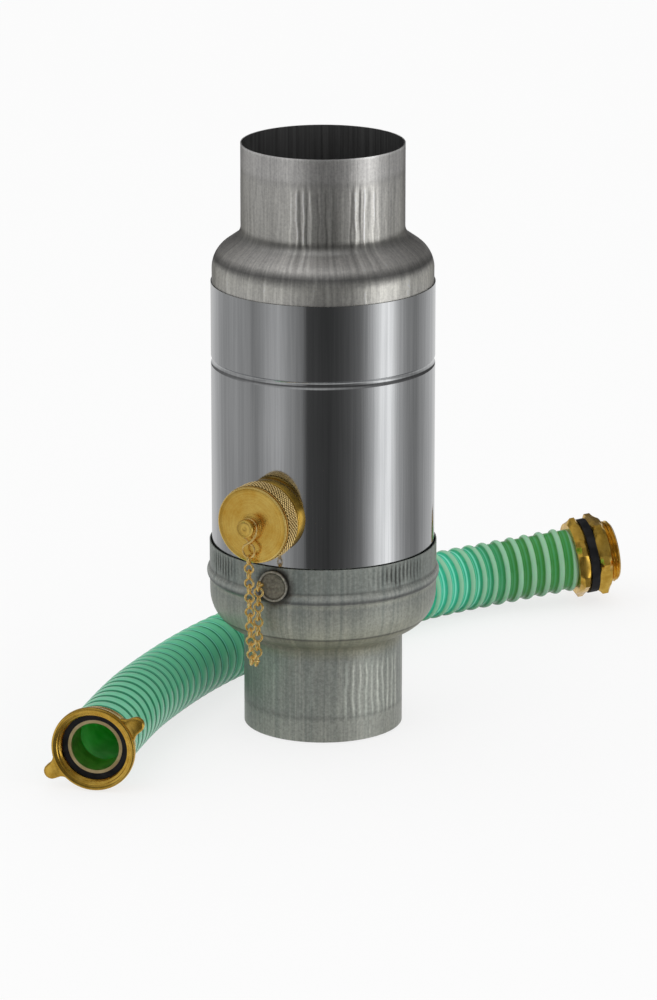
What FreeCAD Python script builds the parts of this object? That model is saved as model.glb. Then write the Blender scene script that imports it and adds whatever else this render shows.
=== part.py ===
import FreeCAD, Part
import math
import os

# Rainwater diverter for a 100 mm downpipe, with its hose set.
# Millimetres, +Z up. The origin is the centre of the lower spigot's mouth.

# Sheet metal body
SHEET = 0.7
PIPE_DIAMETER = 100.0
SOCKET_RADIUS = PIPE_DIAMETER / 2 + SHEET
SPIGOT_RADIUS = 49.7
HOUSING_RADIUS = 69.5
SLIP_GAP = 0.1
SEAT_GAP = 0.05
FOOT_GAP = 0.2
BEND_FLATS = 4
ROLL_FLATS = 4

# Heights, each stacked on the one below
SPIGOT_LENGTH = 57.0
BOWL_HEIGHT = 28.9
COLLAR_HEIGHT = 32.6
OUTLET_RISE = 31.5
HOUSING_RISE = 134.5
SHOULDER_HEIGHT = 35.0
NECK_LENGTH = 51.8
BOWL_TOP = SPIGOT_LENGTH + BOWL_HEIGHT
COLLAR_TOP = BOWL_TOP + COLLAR_HEIGHT
OUTLET_HEIGHT = COLLAR_TOP + OUTLET_RISE
HOUSING_TOP = OUTLET_HEIGHT + HOUSING_RISE
NECK_ROOT = HOUSING_TOP + SHOULDER_HEIGHT
RIM_HEIGHT = NECK_ROOT + NECK_LENGTH

# Lower funnel, its bends as shares of the step from bowl to spigot
COLLAR_GAP = 0.8
BOWL_STEP = 1.3
BOWL_RADIUS = HOUSING_RADIUS + BOWL_STEP
BOWL_BEND_SHARE = 1.137
SPIGOT_BEND_SHARE = 0.284
BOWL_BEND = BOWL_BEND_SHARE * (BOWL_RADIUS - SPIGOT_RADIUS)
SPIGOT_BEND = SPIGOT_BEND_SHARE * (BOWL_RADIUS - SPIGOT_RADIUS)
BOWL_LEAN = math.radians(65.0)
BEAD_DROP = 20.0
BEAD_HEIGHT = COLLAR_TOP - BEAD_DROP
BEAD_HALF_WIDTH = 3.6
BEAD_DEPTH = 1.7

# Housing
GROOVE_DROP = 49.5
GROOVE_HEIGHT = HOUSING_TOP - GROOVE_DROP
GROOVE_HALF_WIDTH = 2.5
GROOVE_DEPTH = 1.3

# Upper funnel, its bends as shares of the step from neck to skirt
SKIRT_RADIUS = HOUSING_RADIUS - SHEET - SLIP_GAP
NECK_BEND_SHARE = 0.5
NECK_BEND = NECK_BEND_SHARE * (SKIRT_RADIUS - SOCKET_RADIUS)
SHOULDER_BEND = SKIRT_RADIUS - SOCKET_RADIUS
SHOULDER_LEAN = math.radians(55.0)

# Catch ring inside the housing
TROUGH_DROP = 22.0
TROUGH_FLOOR = OUTLET_HEIGHT - TROUGH_DROP
TROUGH_SKIRT = 9.0
STANDPIPE_RADIUS = 45.0
STANDPIPE_HEIGHT = 66.0
STANDPIPE_LIP = 1.6

# Brass outlet, its axis level and square to the housing
OUTLET_BEARING = math.radians(28.5)
THREAD_RADIUS = 20.95
THREAD_GAP = 0.07
OUTLET_WALL = 4.95
OUTLET_BORE = THREAD_RADIUS - OUTLET_WALL
TAIL_PIPE_STEP = 1.95
TAIL_PIPE_RADIUS = THREAD_RADIUS - TAIL_PIPE_STEP
TAIL_PIPE_REACH = 5.0
COLLAR_EDGE = 2.45
COLLAR_RADIUS = THREAD_RADIUS + COLLAR_EDGE
COLLAR_STAND = 4.6
COLLAR_ROUND = 1.2
OUTLET_THREAD_LENGTH = 12.2

# Screw cap
CAP_WALL = 3.55
CAP_RADIUS = THREAD_RADIUS + CAP_WALL
CAP_FACE_THICKNESS = 2.4
CAP_CLEAR = 0.6
CAP_CHAMFER = 0.9
CAP_FACE_RING = 1.5
CAP_GROOVE_WIDTH = 0.8
CAP_GROOVE_DEPTH = 0.9
CAP_REAR_RING = 2.6
KNURL_TEETH = 72
KNURL_DEPTH = 0.55
GASKET_THICKNESS = 2.0
GASKET_INNER = 14.0
KNOB_BOSS_RADIUS = 7.0
KNOB_BOSS_HEIGHT = 1.6
KNOB_NECK_RADIUS = 4.0
KNOB_NECK_LENGTH = 4.6
KNOB_RADIUS = 5.6
KNOB_LENGTH = 3.4
KNOB_EDGE = 0.6

# Wire hook, chain and the soldered disc that ends it
WIRE_RADIUS = 0.65
WIRE_GAP = 0.25
WIRE_FLATS = 8
RING_FLATS = 14
HOOK_LOOP_RADIUS = 5.2
HOOK_DROP = 12.6
HOOK_EYE_RADIUS = 3.4
LINK_RADIUS = 2.75
FRONT_LINKS = 8
BACK_LINKS = 5
DISC_BEARING = math.radians(25.1)
DISC_DROP = 11.7
DISC_HEIGHT = COLLAR_TOP - DISC_DROP
DISC_RADIUS = 9.8
DISC_THICKNESS = 1.2
DISC_RIM_WIDTH = 1.3
DISC_RIM_HEIGHT = 0.7
EYE_BEARING = math.radians(31.0)
EYE_OUTREACH = 5.6
HALVINGS = 40

# Hose, listed from the union to the tank connector
HOSE_RADIUS = 21.75
HOSE_WALL = 4.75
HOSE_ROUTE = [
    (-135.6, -123.8, 26.3),
    (-122.2, -66.0, 26.3),
    (-106.0, -6.0, 21.8),
    (-82.0, 48.0, 21.8),
    (-52.0, 97.0, 21.8),
    (-12.5, 140.0, 21.8),
    (34.0, 180.0, 21.8),
    (77.0, 216.5, 21.8),
    (120.0, 241.5, 22.5),
    (167.0, 253.0, 28.4),
]
ARC_SHARE = 0.45

# Brass tails that the hose is pushed on to
BARB_RADIUS = 16.6
BARB_BORE = 15.0
BARB_RIDGE = 0.3
BARB_RIDGES = 3
BARB_RISE = 0.8
UNION_BARB_LENGTH = 10.0
TANK_BARB_LENGTH = 40.0

# Union nut with two ears
NUT_RIM_WALL = 5.25
NUT_RIM_RADIUS = THREAD_RADIUS + NUT_RIM_WALL
NUT_RIM_WIDTH = 4.0
NUT_REAR_WALL = 2.25
NUT_REAR_RADIUS = THREAD_RADIUS + NUT_REAR_WALL
NUT_DEPTH = 15.2
NUT_CHAMFER = 0.8
NUT_BACK_WALL = 3.0
NUT_RELIEF = 0.3
NUT_UNDERCUT = 0.5
EAR_LENGTH = 8.8
EAR_REACH = NUT_RIM_RADIUS + EAR_LENGTH
EAR_WIDTH = 10.5
EAR_THICKNESS = 4.6
EAR_FRONT = 1.6
EAR_TILT = math.radians(32.0)
SEAL_THICKNESS = 3.0
TAIL_HEAD_STEP = 3.95
TAIL_HEAD_RADIUS = THREAD_RADIUS - TAIL_HEAD_STEP
TAIL_FLANGE_THICKNESS = 3.0
TAIL_COLLAR_STEP = 0.35
TAIL_COLLAR_RADIUS = THREAD_RADIUS - TAIL_COLLAR_STEP
TAIL_COLLAR_WIDTH = 1.5

# Tank connector
HEX_WALL = 3.55
HEX_ACROSS_FLATS = 2 * (THREAD_RADIUS + HEX_WALL)
HEX_CHAMFER = 0.5
HEX_CHAMFER_ANGLE = math.radians(30)
FLANGE_WIDTH = 8.0
TANK_SEAL_WIDTH = 5.6
TANK_SEAL_WALL = 4.25
TANK_SEAL_RADIUS = THREAD_RADIUS + TANK_SEAL_WALL
TANK_NUT_WIDTH = 9.0
STUB_LENGTH = 7.2
STUB_CHAMFER = 1.2
STUB_RELIEF_WIDTH = 0.6
STUB_RELIEF_DEPTH = 0.5

UP = FreeCAD.Vector(0, 0, 1)


def turned(points):
    """Solid of revolution about Z of a closed outline of (radius, height) points."""
    corners = [FreeCAD.Vector(radius, 0, height) for radius, height in points]
    face = Part.Face(Part.makePolygon(corners + corners[:1]))
    return face.revolve(FreeCAD.Vector(), UP, 360)


def wall(outer, inner):
    """Turned sheet between an outer and an inner line, both listed top to bottom."""
    return turned(outer + inner[::-1])


def ring(inner_radius, outer_radius, low, high):
    return turned([(inner_radius, low), (outer_radius, low),
                   (outer_radius, high), (inner_radius, high)])


def s_bend(upper_radius, upper_z, lower_radius, upper_bend, lower_bend, lean):
    """Ogee between two upright walls, from the upper one down to the lower one, in flats.

    upper_bend and lower_bend are the radii, lean the slope's angle from upright.
    """
    way = math.copysign(1.0, lower_radius - upper_radius)
    across = abs(lower_radius - upper_radius) - (upper_bend + lower_bend) * (1 - math.cos(lean))
    straight = across / math.sin(lean)
    lower_z = upper_z - (upper_bend + lower_bend) * math.sin(lean) - straight * math.cos(lean)

    def upper_point(angle):
        return (upper_radius + way * upper_bend * (1 - math.cos(angle)),
                upper_z - upper_bend * math.sin(angle))

    def lower_point(angle):
        return (lower_radius - way * lower_bend * (1 - math.cos(angle)),
                lower_z + lower_bend * math.sin(angle))

    angles = [lean * step / BEND_FLATS for step in range(BEND_FLATS + 1)]
    return [upper_point(angle) for angle in angles] + [lower_point(angle) for angle in angles[::-1]]


def rolled(radius, height, half_width, depth, offset):
    """Curve of a bead rolled into a wall, depth outwards, measured on a face offset inwards."""
    bend = (half_width ** 2 + depth ** 2) / (2 * abs(depth))
    way = math.copysign(1.0, depth)
    centre = radius + depth - way * bend
    reach = bend - way * offset
    half = math.asin(math.sqrt(reach ** 2 - (radius - offset - centre) ** 2) / reach)
    points = []
    for step in range(ROLL_FLATS + 1):
        angle = half - 2 * half * step / ROLL_FLATS
        points.append((centre + way * reach * math.cos(angle), height + reach * math.sin(angle)))
    return points


def facing(origin, axis):
    """Placement whose local Z runs along an axis, with local X level and local Y upwards."""
    side = UP.cross(axis).normalize()
    rise = axis.cross(side)
    matrix = FreeCAD.Matrix(
        side.x, rise.x, axis.x, origin.x,
        side.y, rise.y, axis.y, origin.y,
        side.z, rise.z, axis.z, origin.z,
        0, 0, 0, 1)
    return FreeCAD.Placement(matrix)


def placed(shape, placement):
    moved = shape.copy()
    moved.Placement = placement.multiply(moved.Placement)
    return moved


def bearing(angle):
    """Level direction out of the housing, turned from the front towards the left."""
    return FreeCAD.Vector(-math.sin(angle), -math.cos(angle), 0)


def wire_ring(radius, centre, axis):
    """Closed ring of wire, in flats, its corners on the round wire's surface."""
    frame = FreeCAD.Rotation(UP, axis)

    def corner(turn, side):
        along = turn * 2 * math.pi / RING_FLATS
        around = side * 2 * math.pi / WIRE_FLATS
        reach = radius + WIRE_RADIUS * math.cos(around)
        return centre + frame.multVec(FreeCAD.Vector(
            reach * math.cos(along), reach * math.sin(along), WIRE_RADIUS * math.sin(around)))

    faces = []
    for turn in range(RING_FLATS):
        for side in range(WIRE_FLATS):
            corners = [corner(turn, side), corner(turn + 1, side),
                       corner(turn + 1, side + 1), corner(turn, side + 1)]
            faces.append(Part.Face(Part.makePolygon(corners + corners[:1])))
    shell = Part.makeShell(faces)
    shell.sewShape()
    return Part.makeSolid(shell)


def wire_rod(start, end):
    return Part.makeCylinder(WIRE_RADIUS, (end - start).Length, start, end - start)


def hexagon(across_flats, low, high, turn):
    """Chamfered hexagonal block along Z, a corner at the angle turn."""
    corner = across_flats / 2 / math.cos(math.pi / 6)
    points = []
    for index in range(7):
        angle = turn + index * math.pi / 3
        points.append(FreeCAD.Vector(corner * math.cos(angle), corner * math.sin(angle), low))
    block = Part.Face(Part.makePolygon(points)).extrude(FreeCAD.Vector(0, 0, high - low))
    flat = across_flats / 2 - HEX_CHAMFER
    rise = (corner - flat) * math.tan(HEX_CHAMFER_ANGLE)
    envelope = turned([
        (0, low), (flat, low), (corner, low + rise), (corner, high - rise), (flat, high), (0, high)])
    return block.common(envelope)


COLLAR_OUTSIDE = HOUSING_RADIUS + COLLAR_GAP + SHEET
OUTLET_AXIS = bearing(OUTLET_BEARING)
OUTLET_PLACE = facing(FreeCAD.Vector(0, 0, OUTLET_HEIGHT), OUTLET_AXIS)
COLLAR_FACE = HOUSING_RADIUS + COLLAR_STAND
OUTLET_END = COLLAR_FACE + OUTLET_THREAD_LENGTH
CAP_REAR = COLLAR_FACE + CAP_CLEAR
CAP_CEILING = OUTLET_END + SEAT_GAP * 2 + GASKET_THICKNESS
CAP_FACE = CAP_CEILING + CAP_FACE_THICKNESS
NECK_START = CAP_FACE + KNOB_BOSS_HEIGHT
KNOB_START = NECK_START + KNOB_NECK_LENGTH
HOOK_OUT = NECK_START + KNOB_NECK_LENGTH / 2


def make_upper_funnel():
    skirt_end = GROOVE_HEIGHT + GROOVE_HALF_WIDTH + SHEET
    bend = s_bend(SOCKET_RADIUS, NECK_ROOT, SKIRT_RADIUS, NECK_BEND, SHOULDER_BEND, SHOULDER_LEAN)
    lining = s_bend(SOCKET_RADIUS - SHEET, NECK_ROOT, SKIRT_RADIUS - SHEET,
                    NECK_BEND + SHEET, SHOULDER_BEND - SHEET, SHOULDER_LEAN)
    outer = [(SOCKET_RADIUS, RIM_HEIGHT)] + bend + [(SKIRT_RADIUS, skirt_end)]
    inner = [(SOCKET_RADIUS - SHEET, RIM_HEIGHT)] + lining + [(SKIRT_RADIUS - SHEET, skirt_end)]
    return wall(outer, inner)


def lower_funnel_side(offset):
    """Line of the lower funnel's wall, offset inwards from its outer face."""
    bead = rolled(COLLAR_OUTSIDE, BEAD_HEIGHT, BEAD_HALF_WIDTH, BEAD_DEPTH, offset)
    bowl = s_bend(BOWL_RADIUS - offset, BOWL_TOP, SPIGOT_RADIUS - offset,
                  BOWL_BEND - offset, SPIGOT_BEND + offset, BOWL_LEAN)
    return [(COLLAR_OUTSIDE - offset, COLLAR_TOP)] + bead + bowl + [(SPIGOT_RADIUS - offset, 0)]


def bowl_seat():
    """Height at which the housing's foot meets the inside of the bowl."""
    side = lower_funnel_side(SHEET)
    for (wide, high), (narrow, low) in zip(side, side[1:]):
        if wide > HOUSING_RADIUS >= narrow:
            return high - (high - low) * (wide - HOUSING_RADIUS) / (wide - narrow)


def make_housing():
    foot = bowl_seat() + FOOT_GAP
    groove = (HOUSING_RADIUS, GROOVE_HEIGHT, GROOVE_HALF_WIDTH, -GROOVE_DEPTH)
    inside = HOUSING_RADIUS - SHEET
    outer = [(HOUSING_RADIUS, HOUSING_TOP)] + rolled(*groove, 0) + [(HOUSING_RADIUS, foot)]
    inner = [(inside, HOUSING_TOP)] + rolled(*groove, SHEET) + [(inside, foot)]
    drill = placed(Part.makeCylinder(TAIL_PIPE_RADIUS + SEAT_GAP, COLLAR_FACE), OUTLET_PLACE)
    return wall(outer, inner).cut(drill)


def make_lower_funnel():
    return wall(lower_funnel_side(0), lower_funnel_side(SHEET))


def make_catch_ring():
    top = TROUGH_FLOOR + STANDPIPE_HEIGHT
    pipe = STANDPIPE_RADIUS + SHEET
    return turned([
        (SKIRT_RADIUS, TROUGH_FLOOR - TROUGH_SKIRT),
        (SKIRT_RADIUS, TROUGH_FLOOR),
        (pipe, TROUGH_FLOOR),
        (pipe, top - STANDPIPE_LIP),
        (pipe + STANDPIPE_LIP, top - SHEET),
        (pipe + STANDPIPE_LIP, top),
        (pipe, top),
        (STANDPIPE_RADIUS, top - STANDPIPE_LIP),
        (STANDPIPE_RADIUS, TROUGH_FLOOR - SHEET),
        (SKIRT_RADIUS - SHEET, TROUGH_FLOOR - SHEET),
        (SKIRT_RADIUS - SHEET, TROUGH_FLOOR - TROUGH_SKIRT),
    ])


def make_outlet_nipple():
    pipe_start = HOUSING_RADIUS - SHEET - TAIL_PIPE_REACH
    collar_start = HOUSING_RADIUS * math.cos(math.asin(COLLAR_RADIUS / HOUSING_RADIUS)) - SHEET
    collar = turned([
        (OUTLET_BORE, collar_start),
        (COLLAR_RADIUS, collar_start),
        (COLLAR_RADIUS, COLLAR_FACE - COLLAR_ROUND),
        (COLLAR_RADIUS - COLLAR_ROUND, COLLAR_FACE),
        (OUTLET_BORE, COLLAR_FACE)])
    drum = Part.makeCylinder(HOUSING_RADIUS + SEAT_GAP, HOUSING_TOP)
    saddle = placed(collar, OUTLET_PLACE).cut(drum)
    pipe = ring(OUTLET_BORE, TAIL_PIPE_RADIUS, pipe_start, COLLAR_FACE)
    thread = ring(OUTLET_BORE, THREAD_RADIUS, COLLAR_FACE, OUTLET_END)
    barrel = placed(pipe.fuse(thread), OUTLET_PLACE)
    return saddle.fuse(barrel).removeSplitter()


def make_knurl(low, high):
    """Band of straight teeth round the cap."""
    points = []
    for index in range(2 * KNURL_TEETH + 1):
        angle = index * math.pi / KNURL_TEETH
        reach = CAP_RADIUS - (index % 2) * KNURL_DEPTH
        points.append(FreeCAD.Vector(reach * math.cos(angle), reach * math.sin(angle), low))
    return Part.Face(Part.makePolygon(points)).extrude(FreeCAD.Vector(0, 0, high - low))


def make_cap():
    bore = THREAD_RADIUS + THREAD_GAP
    knurl_low = CAP_REAR + CAP_REAR_RING
    knurl_high = CAP_FACE - CAP_FACE_RING - CAP_GROOVE_WIDTH
    smooth = CAP_RADIUS - KNURL_DEPTH
    body = turned([
        (0, CAP_REAR), (smooth - CAP_CHAMFER, CAP_REAR), (smooth, CAP_REAR + CAP_CHAMFER),
        (smooth, knurl_low), (smooth - KNURL_DEPTH, knurl_low),
        (smooth - KNURL_DEPTH, knurl_high), (smooth - CAP_GROOVE_DEPTH, knurl_high),
        (smooth - CAP_GROOVE_DEPTH, knurl_high + CAP_GROOVE_WIDTH),
        (smooth, knurl_high + CAP_GROOVE_WIDTH),
        (smooth, CAP_FACE - CAP_CHAMFER), (smooth - CAP_CHAMFER, CAP_FACE), (0, CAP_FACE)])
    knob_end = KNOB_START + KNOB_LENGTH
    knob = turned([
        (0, CAP_FACE - CAP_CHAMFER), (KNOB_BOSS_RADIUS, CAP_FACE - CAP_CHAMFER),
        (KNOB_BOSS_RADIUS, CAP_FACE), (KNOB_NECK_RADIUS + KNOB_EDGE, NECK_START),
        (KNOB_NECK_RADIUS, NECK_START), (KNOB_NECK_RADIUS, KNOB_START),
        (KNOB_RADIUS, KNOB_START), (KNOB_RADIUS, knob_end - KNOB_EDGE),
        (KNOB_RADIUS - KNOB_EDGE, knob_end), (0, knob_end)])
    solid = body.fuse(make_knurl(knurl_low, knurl_high)).fuse(knob)
    hollow = Part.makeCylinder(bore, CAP_CEILING - CAP_REAR + 1, FreeCAD.Vector(0, 0, CAP_REAR - 1))
    return placed(solid.cut(hollow).removeSplitter(), OUTLET_PLACE)


def make_cap_gasket():
    low = CAP_CEILING - GASKET_THICKNESS
    return placed(ring(GASKET_INNER, THREAD_RADIUS, low, CAP_CEILING), OUTLET_PLACE)


def teardrop(radius, drop):
    """Wire loop about the origin that runs in two straight legs to a point drop below it."""
    lean = math.acos(radius / drop)
    normal = FreeCAD.Vector(0, 0, 1)
    loop = wire_ring(radius, FreeCAD.Vector(), normal)
    tip = FreeCAD.Vector(0, -drop, 0)
    legs = []
    for side in (-1, 1):
        touch = FreeCAD.Vector(side * radius * math.sin(lean), -radius * math.cos(lean), 0)
        legs.append(wire_rod(touch, tip))
    corners = [(0, 0, 0)]
    for side in (-1, 1):
        corners.append((side * 2 * drop * math.sin(lean), -2 * drop * math.cos(lean), 0))
    corners.append(corners[0])
    wedge_points = [FreeCAD.Vector(x, y, -2 * WIRE_RADIUS) for x, y, z in corners]
    wedge = Part.Face(Part.makePolygon(wedge_points)).extrude(normal * 4 * WIRE_RADIUS)
    open_loop = loop.cut(wedge)
    return open_loop.fuse(legs[0]).fuse(legs[1]).fuse(Part.makeSphere(WIRE_RADIUS, tip))


def hook_centre():
    """Centre of the hook's upper loop, which hangs on the top of the knob's neck."""
    lift = KNOB_NECK_RADIUS + WIRE_GAP + WIRE_RADIUS - HOOK_LOOP_RADIUS
    return OUTLET_AXIS * HOOK_OUT + UP * (OUTLET_HEIGHT + lift)


def make_cap_hook():
    upper = teardrop(HOOK_LOOP_RADIUS, HOOK_DROP)
    eye = wire_ring(HOOK_EYE_RADIUS, FreeCAD.Vector(0, -HOOK_DROP - HOOK_EYE_RADIUS, 0),
                    FreeCAD.Vector(0, 0, 1))
    return placed(upper.fuse(eye), facing(hook_centre(), OUTLET_AXIS))


def eye_centre():
    """Centre of the eye on the soldered disc, in which the last link hangs."""
    return bearing(EYE_BEARING) * (COLLAR_OUTSIDE + EYE_OUTREACH) + UP * DISC_HEIGHT


def bisected(low, high, too_big):
    for step in range(HALVINGS):
        middle = (low + high) / 2
        if too_big(middle):
            high = middle
        else:
            low = middle
    return middle


def chain_points():
    """Points where the links turn on each other, down from the hook and up to the disc."""
    pitch = 4 * LINK_RADIUS - 2 * WIRE_RADIUS - WIRE_GAP
    eye_bottom = HOOK_DROP + 2 * HOOK_EYE_RADIUS
    lock = LINK_RADIUS - 2 * WIRE_RADIUS - WIRE_GAP
    top = hook_centre() - UP * (eye_bottom + lock)
    end = eye_centre()
    total = pitch * (FRONT_LINKS + BACK_LINKS)
    across = FreeCAD.Vector(end.x - top.x, end.y - top.y, 0)
    toward = across * (1 / across.Length)

    def walk(sag, bottom):
        place = FreeCAD.Vector(top)
        points = [place]
        for index in range(FRONT_LINKS + BACK_LINKS):
            slope = math.atan2((index + 0.5) * pitch - bottom, sag)
            step = toward * math.cos(slope) + UP * math.sin(slope)
            place = place + step * pitch
            points.append(place)
        return points

    def lowest(sag):
        return bisected(0, total, lambda bottom: walk(sag, bottom)[-1].z < end.z)

    def too_wide(sag):
        return (walk(sag, lowest(sag))[-1] - top).dot(toward) > across.Length

    sag = bisected(WIRE_GAP, across.Length, too_wide)
    return walk(sag, lowest(sag)), toward


def make_links():
    """Double-loop wire links, the upper loop in the plane of the hang and the lower across it."""
    points, toward = chain_points()
    level = UP.cross(toward)
    shapes = []
    for start, end in zip(points, points[1:]):
        way = (end - start).normalize()
        first = wire_ring(LINK_RADIUS, start, level)
        second = wire_ring(LINK_RADIUS, start + way * 2 * LINK_RADIUS, level.cross(way))
        shapes.append(first.fuse(second))
    return shapes


def make_chain_anchor():
    collar = COLLAR_OUTSIDE
    face = collar + DISC_THICKNESS
    inside = DISC_RADIUS - DISC_RIM_WIDTH
    disc = turned([
        (0, collar - DISC_RADIUS), (DISC_RADIUS, collar - DISC_RADIUS),
        (DISC_RADIUS, face + DISC_RIM_HEIGHT),
        (inside, face + DISC_RIM_HEIGHT), (inside - DISC_RIM_HEIGHT, face), (0, face)])
    place = facing(UP * DISC_HEIGHT, bearing(DISC_BEARING))
    drum = turned([(0, COLLAR_TOP)] + lower_funnel_side(-SEAT_GAP) + [(0, 0)])
    points, toward = chain_points()
    eye = wire_ring(LINK_RADIUS, eye_centre(), UP.cross(toward))
    foot = bearing(EYE_BEARING) * (collar + SEAT_GAP) + UP * DISC_HEIGHT
    stem_end = bearing(EYE_BEARING) * (collar + EYE_OUTREACH - LINK_RADIUS) + UP * DISC_HEIGHT
    stem = Part.makeCylinder(2 * WIRE_RADIUS, (stem_end - foot).Length, foot, stem_end - foot)
    return placed(disc, place).cut(drum).fuse(stem).fuse(eye).removeSplitter()


def hose_wire():
    """Straight runs joined by the largest tangent arcs that the runs allow."""
    points = [FreeCAD.Vector(*point) for point in HOSE_ROUTE]
    edges = []
    here = points[0]
    radii = []
    for before, corner, after in zip(points, points[1:], points[2:]):
        back = (before - corner).normalize()
        ahead = (after - corner).normalize()
        turn = math.pi - back.getAngle(ahead)
        setback = ARC_SHARE * min((before - corner).Length, (after - corner).Length)
        radius = setback / math.tan(turn / 2)
        radii.append(radius)
        start = corner + back * setback
        end = corner + ahead * setback
        inward = (back + ahead).normalize()
        middle = corner + inward * (radius / math.cos(turn / 2) - radius)
        edges.append(Part.LineSegment(here, start).toShape())
        edges.append(Part.Arc(start, middle, end).toShape())
        here = end
    edges.append(Part.LineSegment(here, points[-1]).toShape())
    return Part.Wire(edges), radii


def make_hose():
    route, radii = hose_wire()
    print("hose radii", [round(radius) for radius in radii])
    start = FreeCAD.Vector(*HOSE_ROUTE[0])
    way = FreeCAD.Vector(*HOSE_ROUTE[1]) - start
    tubes = []
    for radius in (HOSE_RADIUS, HOSE_RADIUS - HOSE_WALL):
        circle = Part.Wire(Part.makeCircle(radius, start, way))
        tubes.append(route.makePipeShell([circle], True, True))
    tube = tubes[0].cut(tubes[1])
    section = math.pi * (HOSE_RADIUS ** 2 - (HOSE_RADIUS - HOSE_WALL) ** 2)
    print("hose length", round(route.Length, 1), "volume / section x length",
          round(tube.Volume / (section * route.Length), 5))
    return tube


def hose_end(first, second):
    """Placement at a hose end, local Z running out of the hose."""
    end = FreeCAD.Vector(*HOSE_ROUTE[first])
    way = end - FreeCAD.Vector(*HOSE_ROUTE[second])
    return facing(end, way.normalize())


def barb(length):
    """Ridged tail inside the hose, from -length to 0."""
    pitch = length / BARB_RIDGES
    points = [(BARB_BORE, 0), (BARB_BORE, -length)]
    for index in range(BARB_RIDGES):
        low = -length + index * pitch
        points.append((BARB_RADIUS - BARB_RIDGE, low))
        points.append((BARB_RADIUS, low + pitch * BARB_RISE))
    points.append((BARB_RADIUS - BARB_RIDGE, 0))
    return turned(points)


UNION_PLACE = hose_end(0, 1)
TANK_PLACE = hose_end(-1, -2)
NUT_REAR = TAIL_COLLAR_WIDTH + NUT_RELIEF
NUT_RIM = NUT_REAR + NUT_DEPTH
NUT_SHOULDER = NUT_REAR + NUT_BACK_WALL
TAIL_FLANGE_LOW = NUT_SHOULDER + NUT_RELIEF
TAIL_FLANGE_HIGH = TAIL_FLANGE_LOW + TAIL_FLANGE_THICKNESS


def make_union_tail():
    bore_radius = TAIL_HEAD_RADIUS + 1
    flange = THREAD_RADIUS - NUT_RELIEF
    head = turned([
        (BARB_BORE, 0), (TAIL_COLLAR_RADIUS, 0), (TAIL_COLLAR_RADIUS, TAIL_COLLAR_WIDTH),
        (bore_radius, TAIL_COLLAR_WIDTH), (bore_radius, TAIL_FLANGE_LOW),
        (flange, TAIL_FLANGE_LOW), (flange, TAIL_FLANGE_HIGH),
        (TAIL_HEAD_RADIUS, TAIL_FLANGE_HIGH),
        (TAIL_HEAD_RADIUS, TAIL_FLANGE_HIGH + SEAL_THICKNESS),
        (BARB_BORE, TAIL_FLANGE_HIGH + SEAL_THICKNESS)])
    return placed(head.fuse(barb(UNION_BARB_LENGTH)), UNION_PLACE)


def make_union_seal():
    low = TAIL_FLANGE_HIGH + SEAT_GAP
    seal = ring(TAIL_HEAD_RADIUS + SEAT_GAP, THREAD_RADIUS - NUT_RELIEF, low, low + SEAL_THICKNESS)
    return placed(seal, UNION_PLACE)


def make_ear(side):
    half = EAR_WIDTH / 2
    root = THREAD_RADIUS + 1
    centre = EAR_REACH - half
    plate = Part.makeBox(centre - root, EAR_WIDTH, EAR_THICKNESS, FreeCAD.Vector(root, -half, 0))
    tip = Part.makeCylinder(half, EAR_THICKNESS, FreeCAD.Vector(centre, 0, 0))
    ear = plate.fuse(tip)
    ear.translate(FreeCAD.Vector(0, 0, NUT_RIM - EAR_FRONT - EAR_THICKNESS))
    ear.rotate(FreeCAD.Vector(), UP, math.degrees(EAR_TILT) + side * 180)
    return ear


def make_union_nut():
    throat = TAIL_HEAD_RADIUS + 1 + NUT_RELIEF
    rim_low = NUT_RIM - NUT_RIM_WIDTH
    undercut = THREAD_RADIUS + NUT_UNDERCUT
    thread_end = TAIL_FLANGE_HIGH + SEAL_THICKNESS + SEAT_GAP
    edge = NUT_CHAMFER
    shell = turned([
        (throat, NUT_REAR), (NUT_REAR_RADIUS - edge, NUT_REAR), (NUT_REAR_RADIUS, NUT_REAR + edge),
        (NUT_REAR_RADIUS, NUT_SHOULDER),
        (NUT_RIM_RADIUS - edge, rim_low), (NUT_RIM_RADIUS, rim_low + edge),
        (NUT_RIM_RADIUS, NUT_RIM - edge), (NUT_RIM_RADIUS - edge, NUT_RIM),
        (THREAD_RADIUS + edge, NUT_RIM), (THREAD_RADIUS, NUT_RIM - edge),
        (THREAD_RADIUS, thread_end), (undercut, thread_end),
        (undercut, NUT_SHOULDER), (throat, NUT_SHOULDER)])
    return placed(shell.fuse(make_ear(0)).fuse(make_ear(1)).removeSplitter(), UNION_PLACE)


def make_tank_connector():
    barrel_end = FLANGE_WIDTH + TANK_SEAL_WIDTH + TANK_NUT_WIDTH + STUB_LENGTH
    bore = Part.makeCylinder(BARB_BORE, barrel_end)
    relief = barrel_end - STUB_LENGTH + 3 * SEAT_GAP
    barrel = turned([
        (BARB_BORE, 0), (THREAD_RADIUS, 0), (THREAD_RADIUS, relief),
        (THREAD_RADIUS - STUB_RELIEF_DEPTH, relief),
        (THREAD_RADIUS - STUB_RELIEF_DEPTH, relief + STUB_RELIEF_WIDTH),
        (THREAD_RADIUS, relief + STUB_RELIEF_WIDTH), (THREAD_RADIUS, barrel_end - STUB_CHAMFER),
        (THREAD_RADIUS - STUB_CHAMFER, barrel_end), (BARB_BORE, barrel_end)])
    flange = hexagon(HEX_ACROSS_FLATS, 0, FLANGE_WIDTH, math.pi / 2).cut(bore)
    return placed(flange.fuse(barrel).fuse(barb(TANK_BARB_LENGTH)).removeSplitter(), TANK_PLACE)


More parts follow.
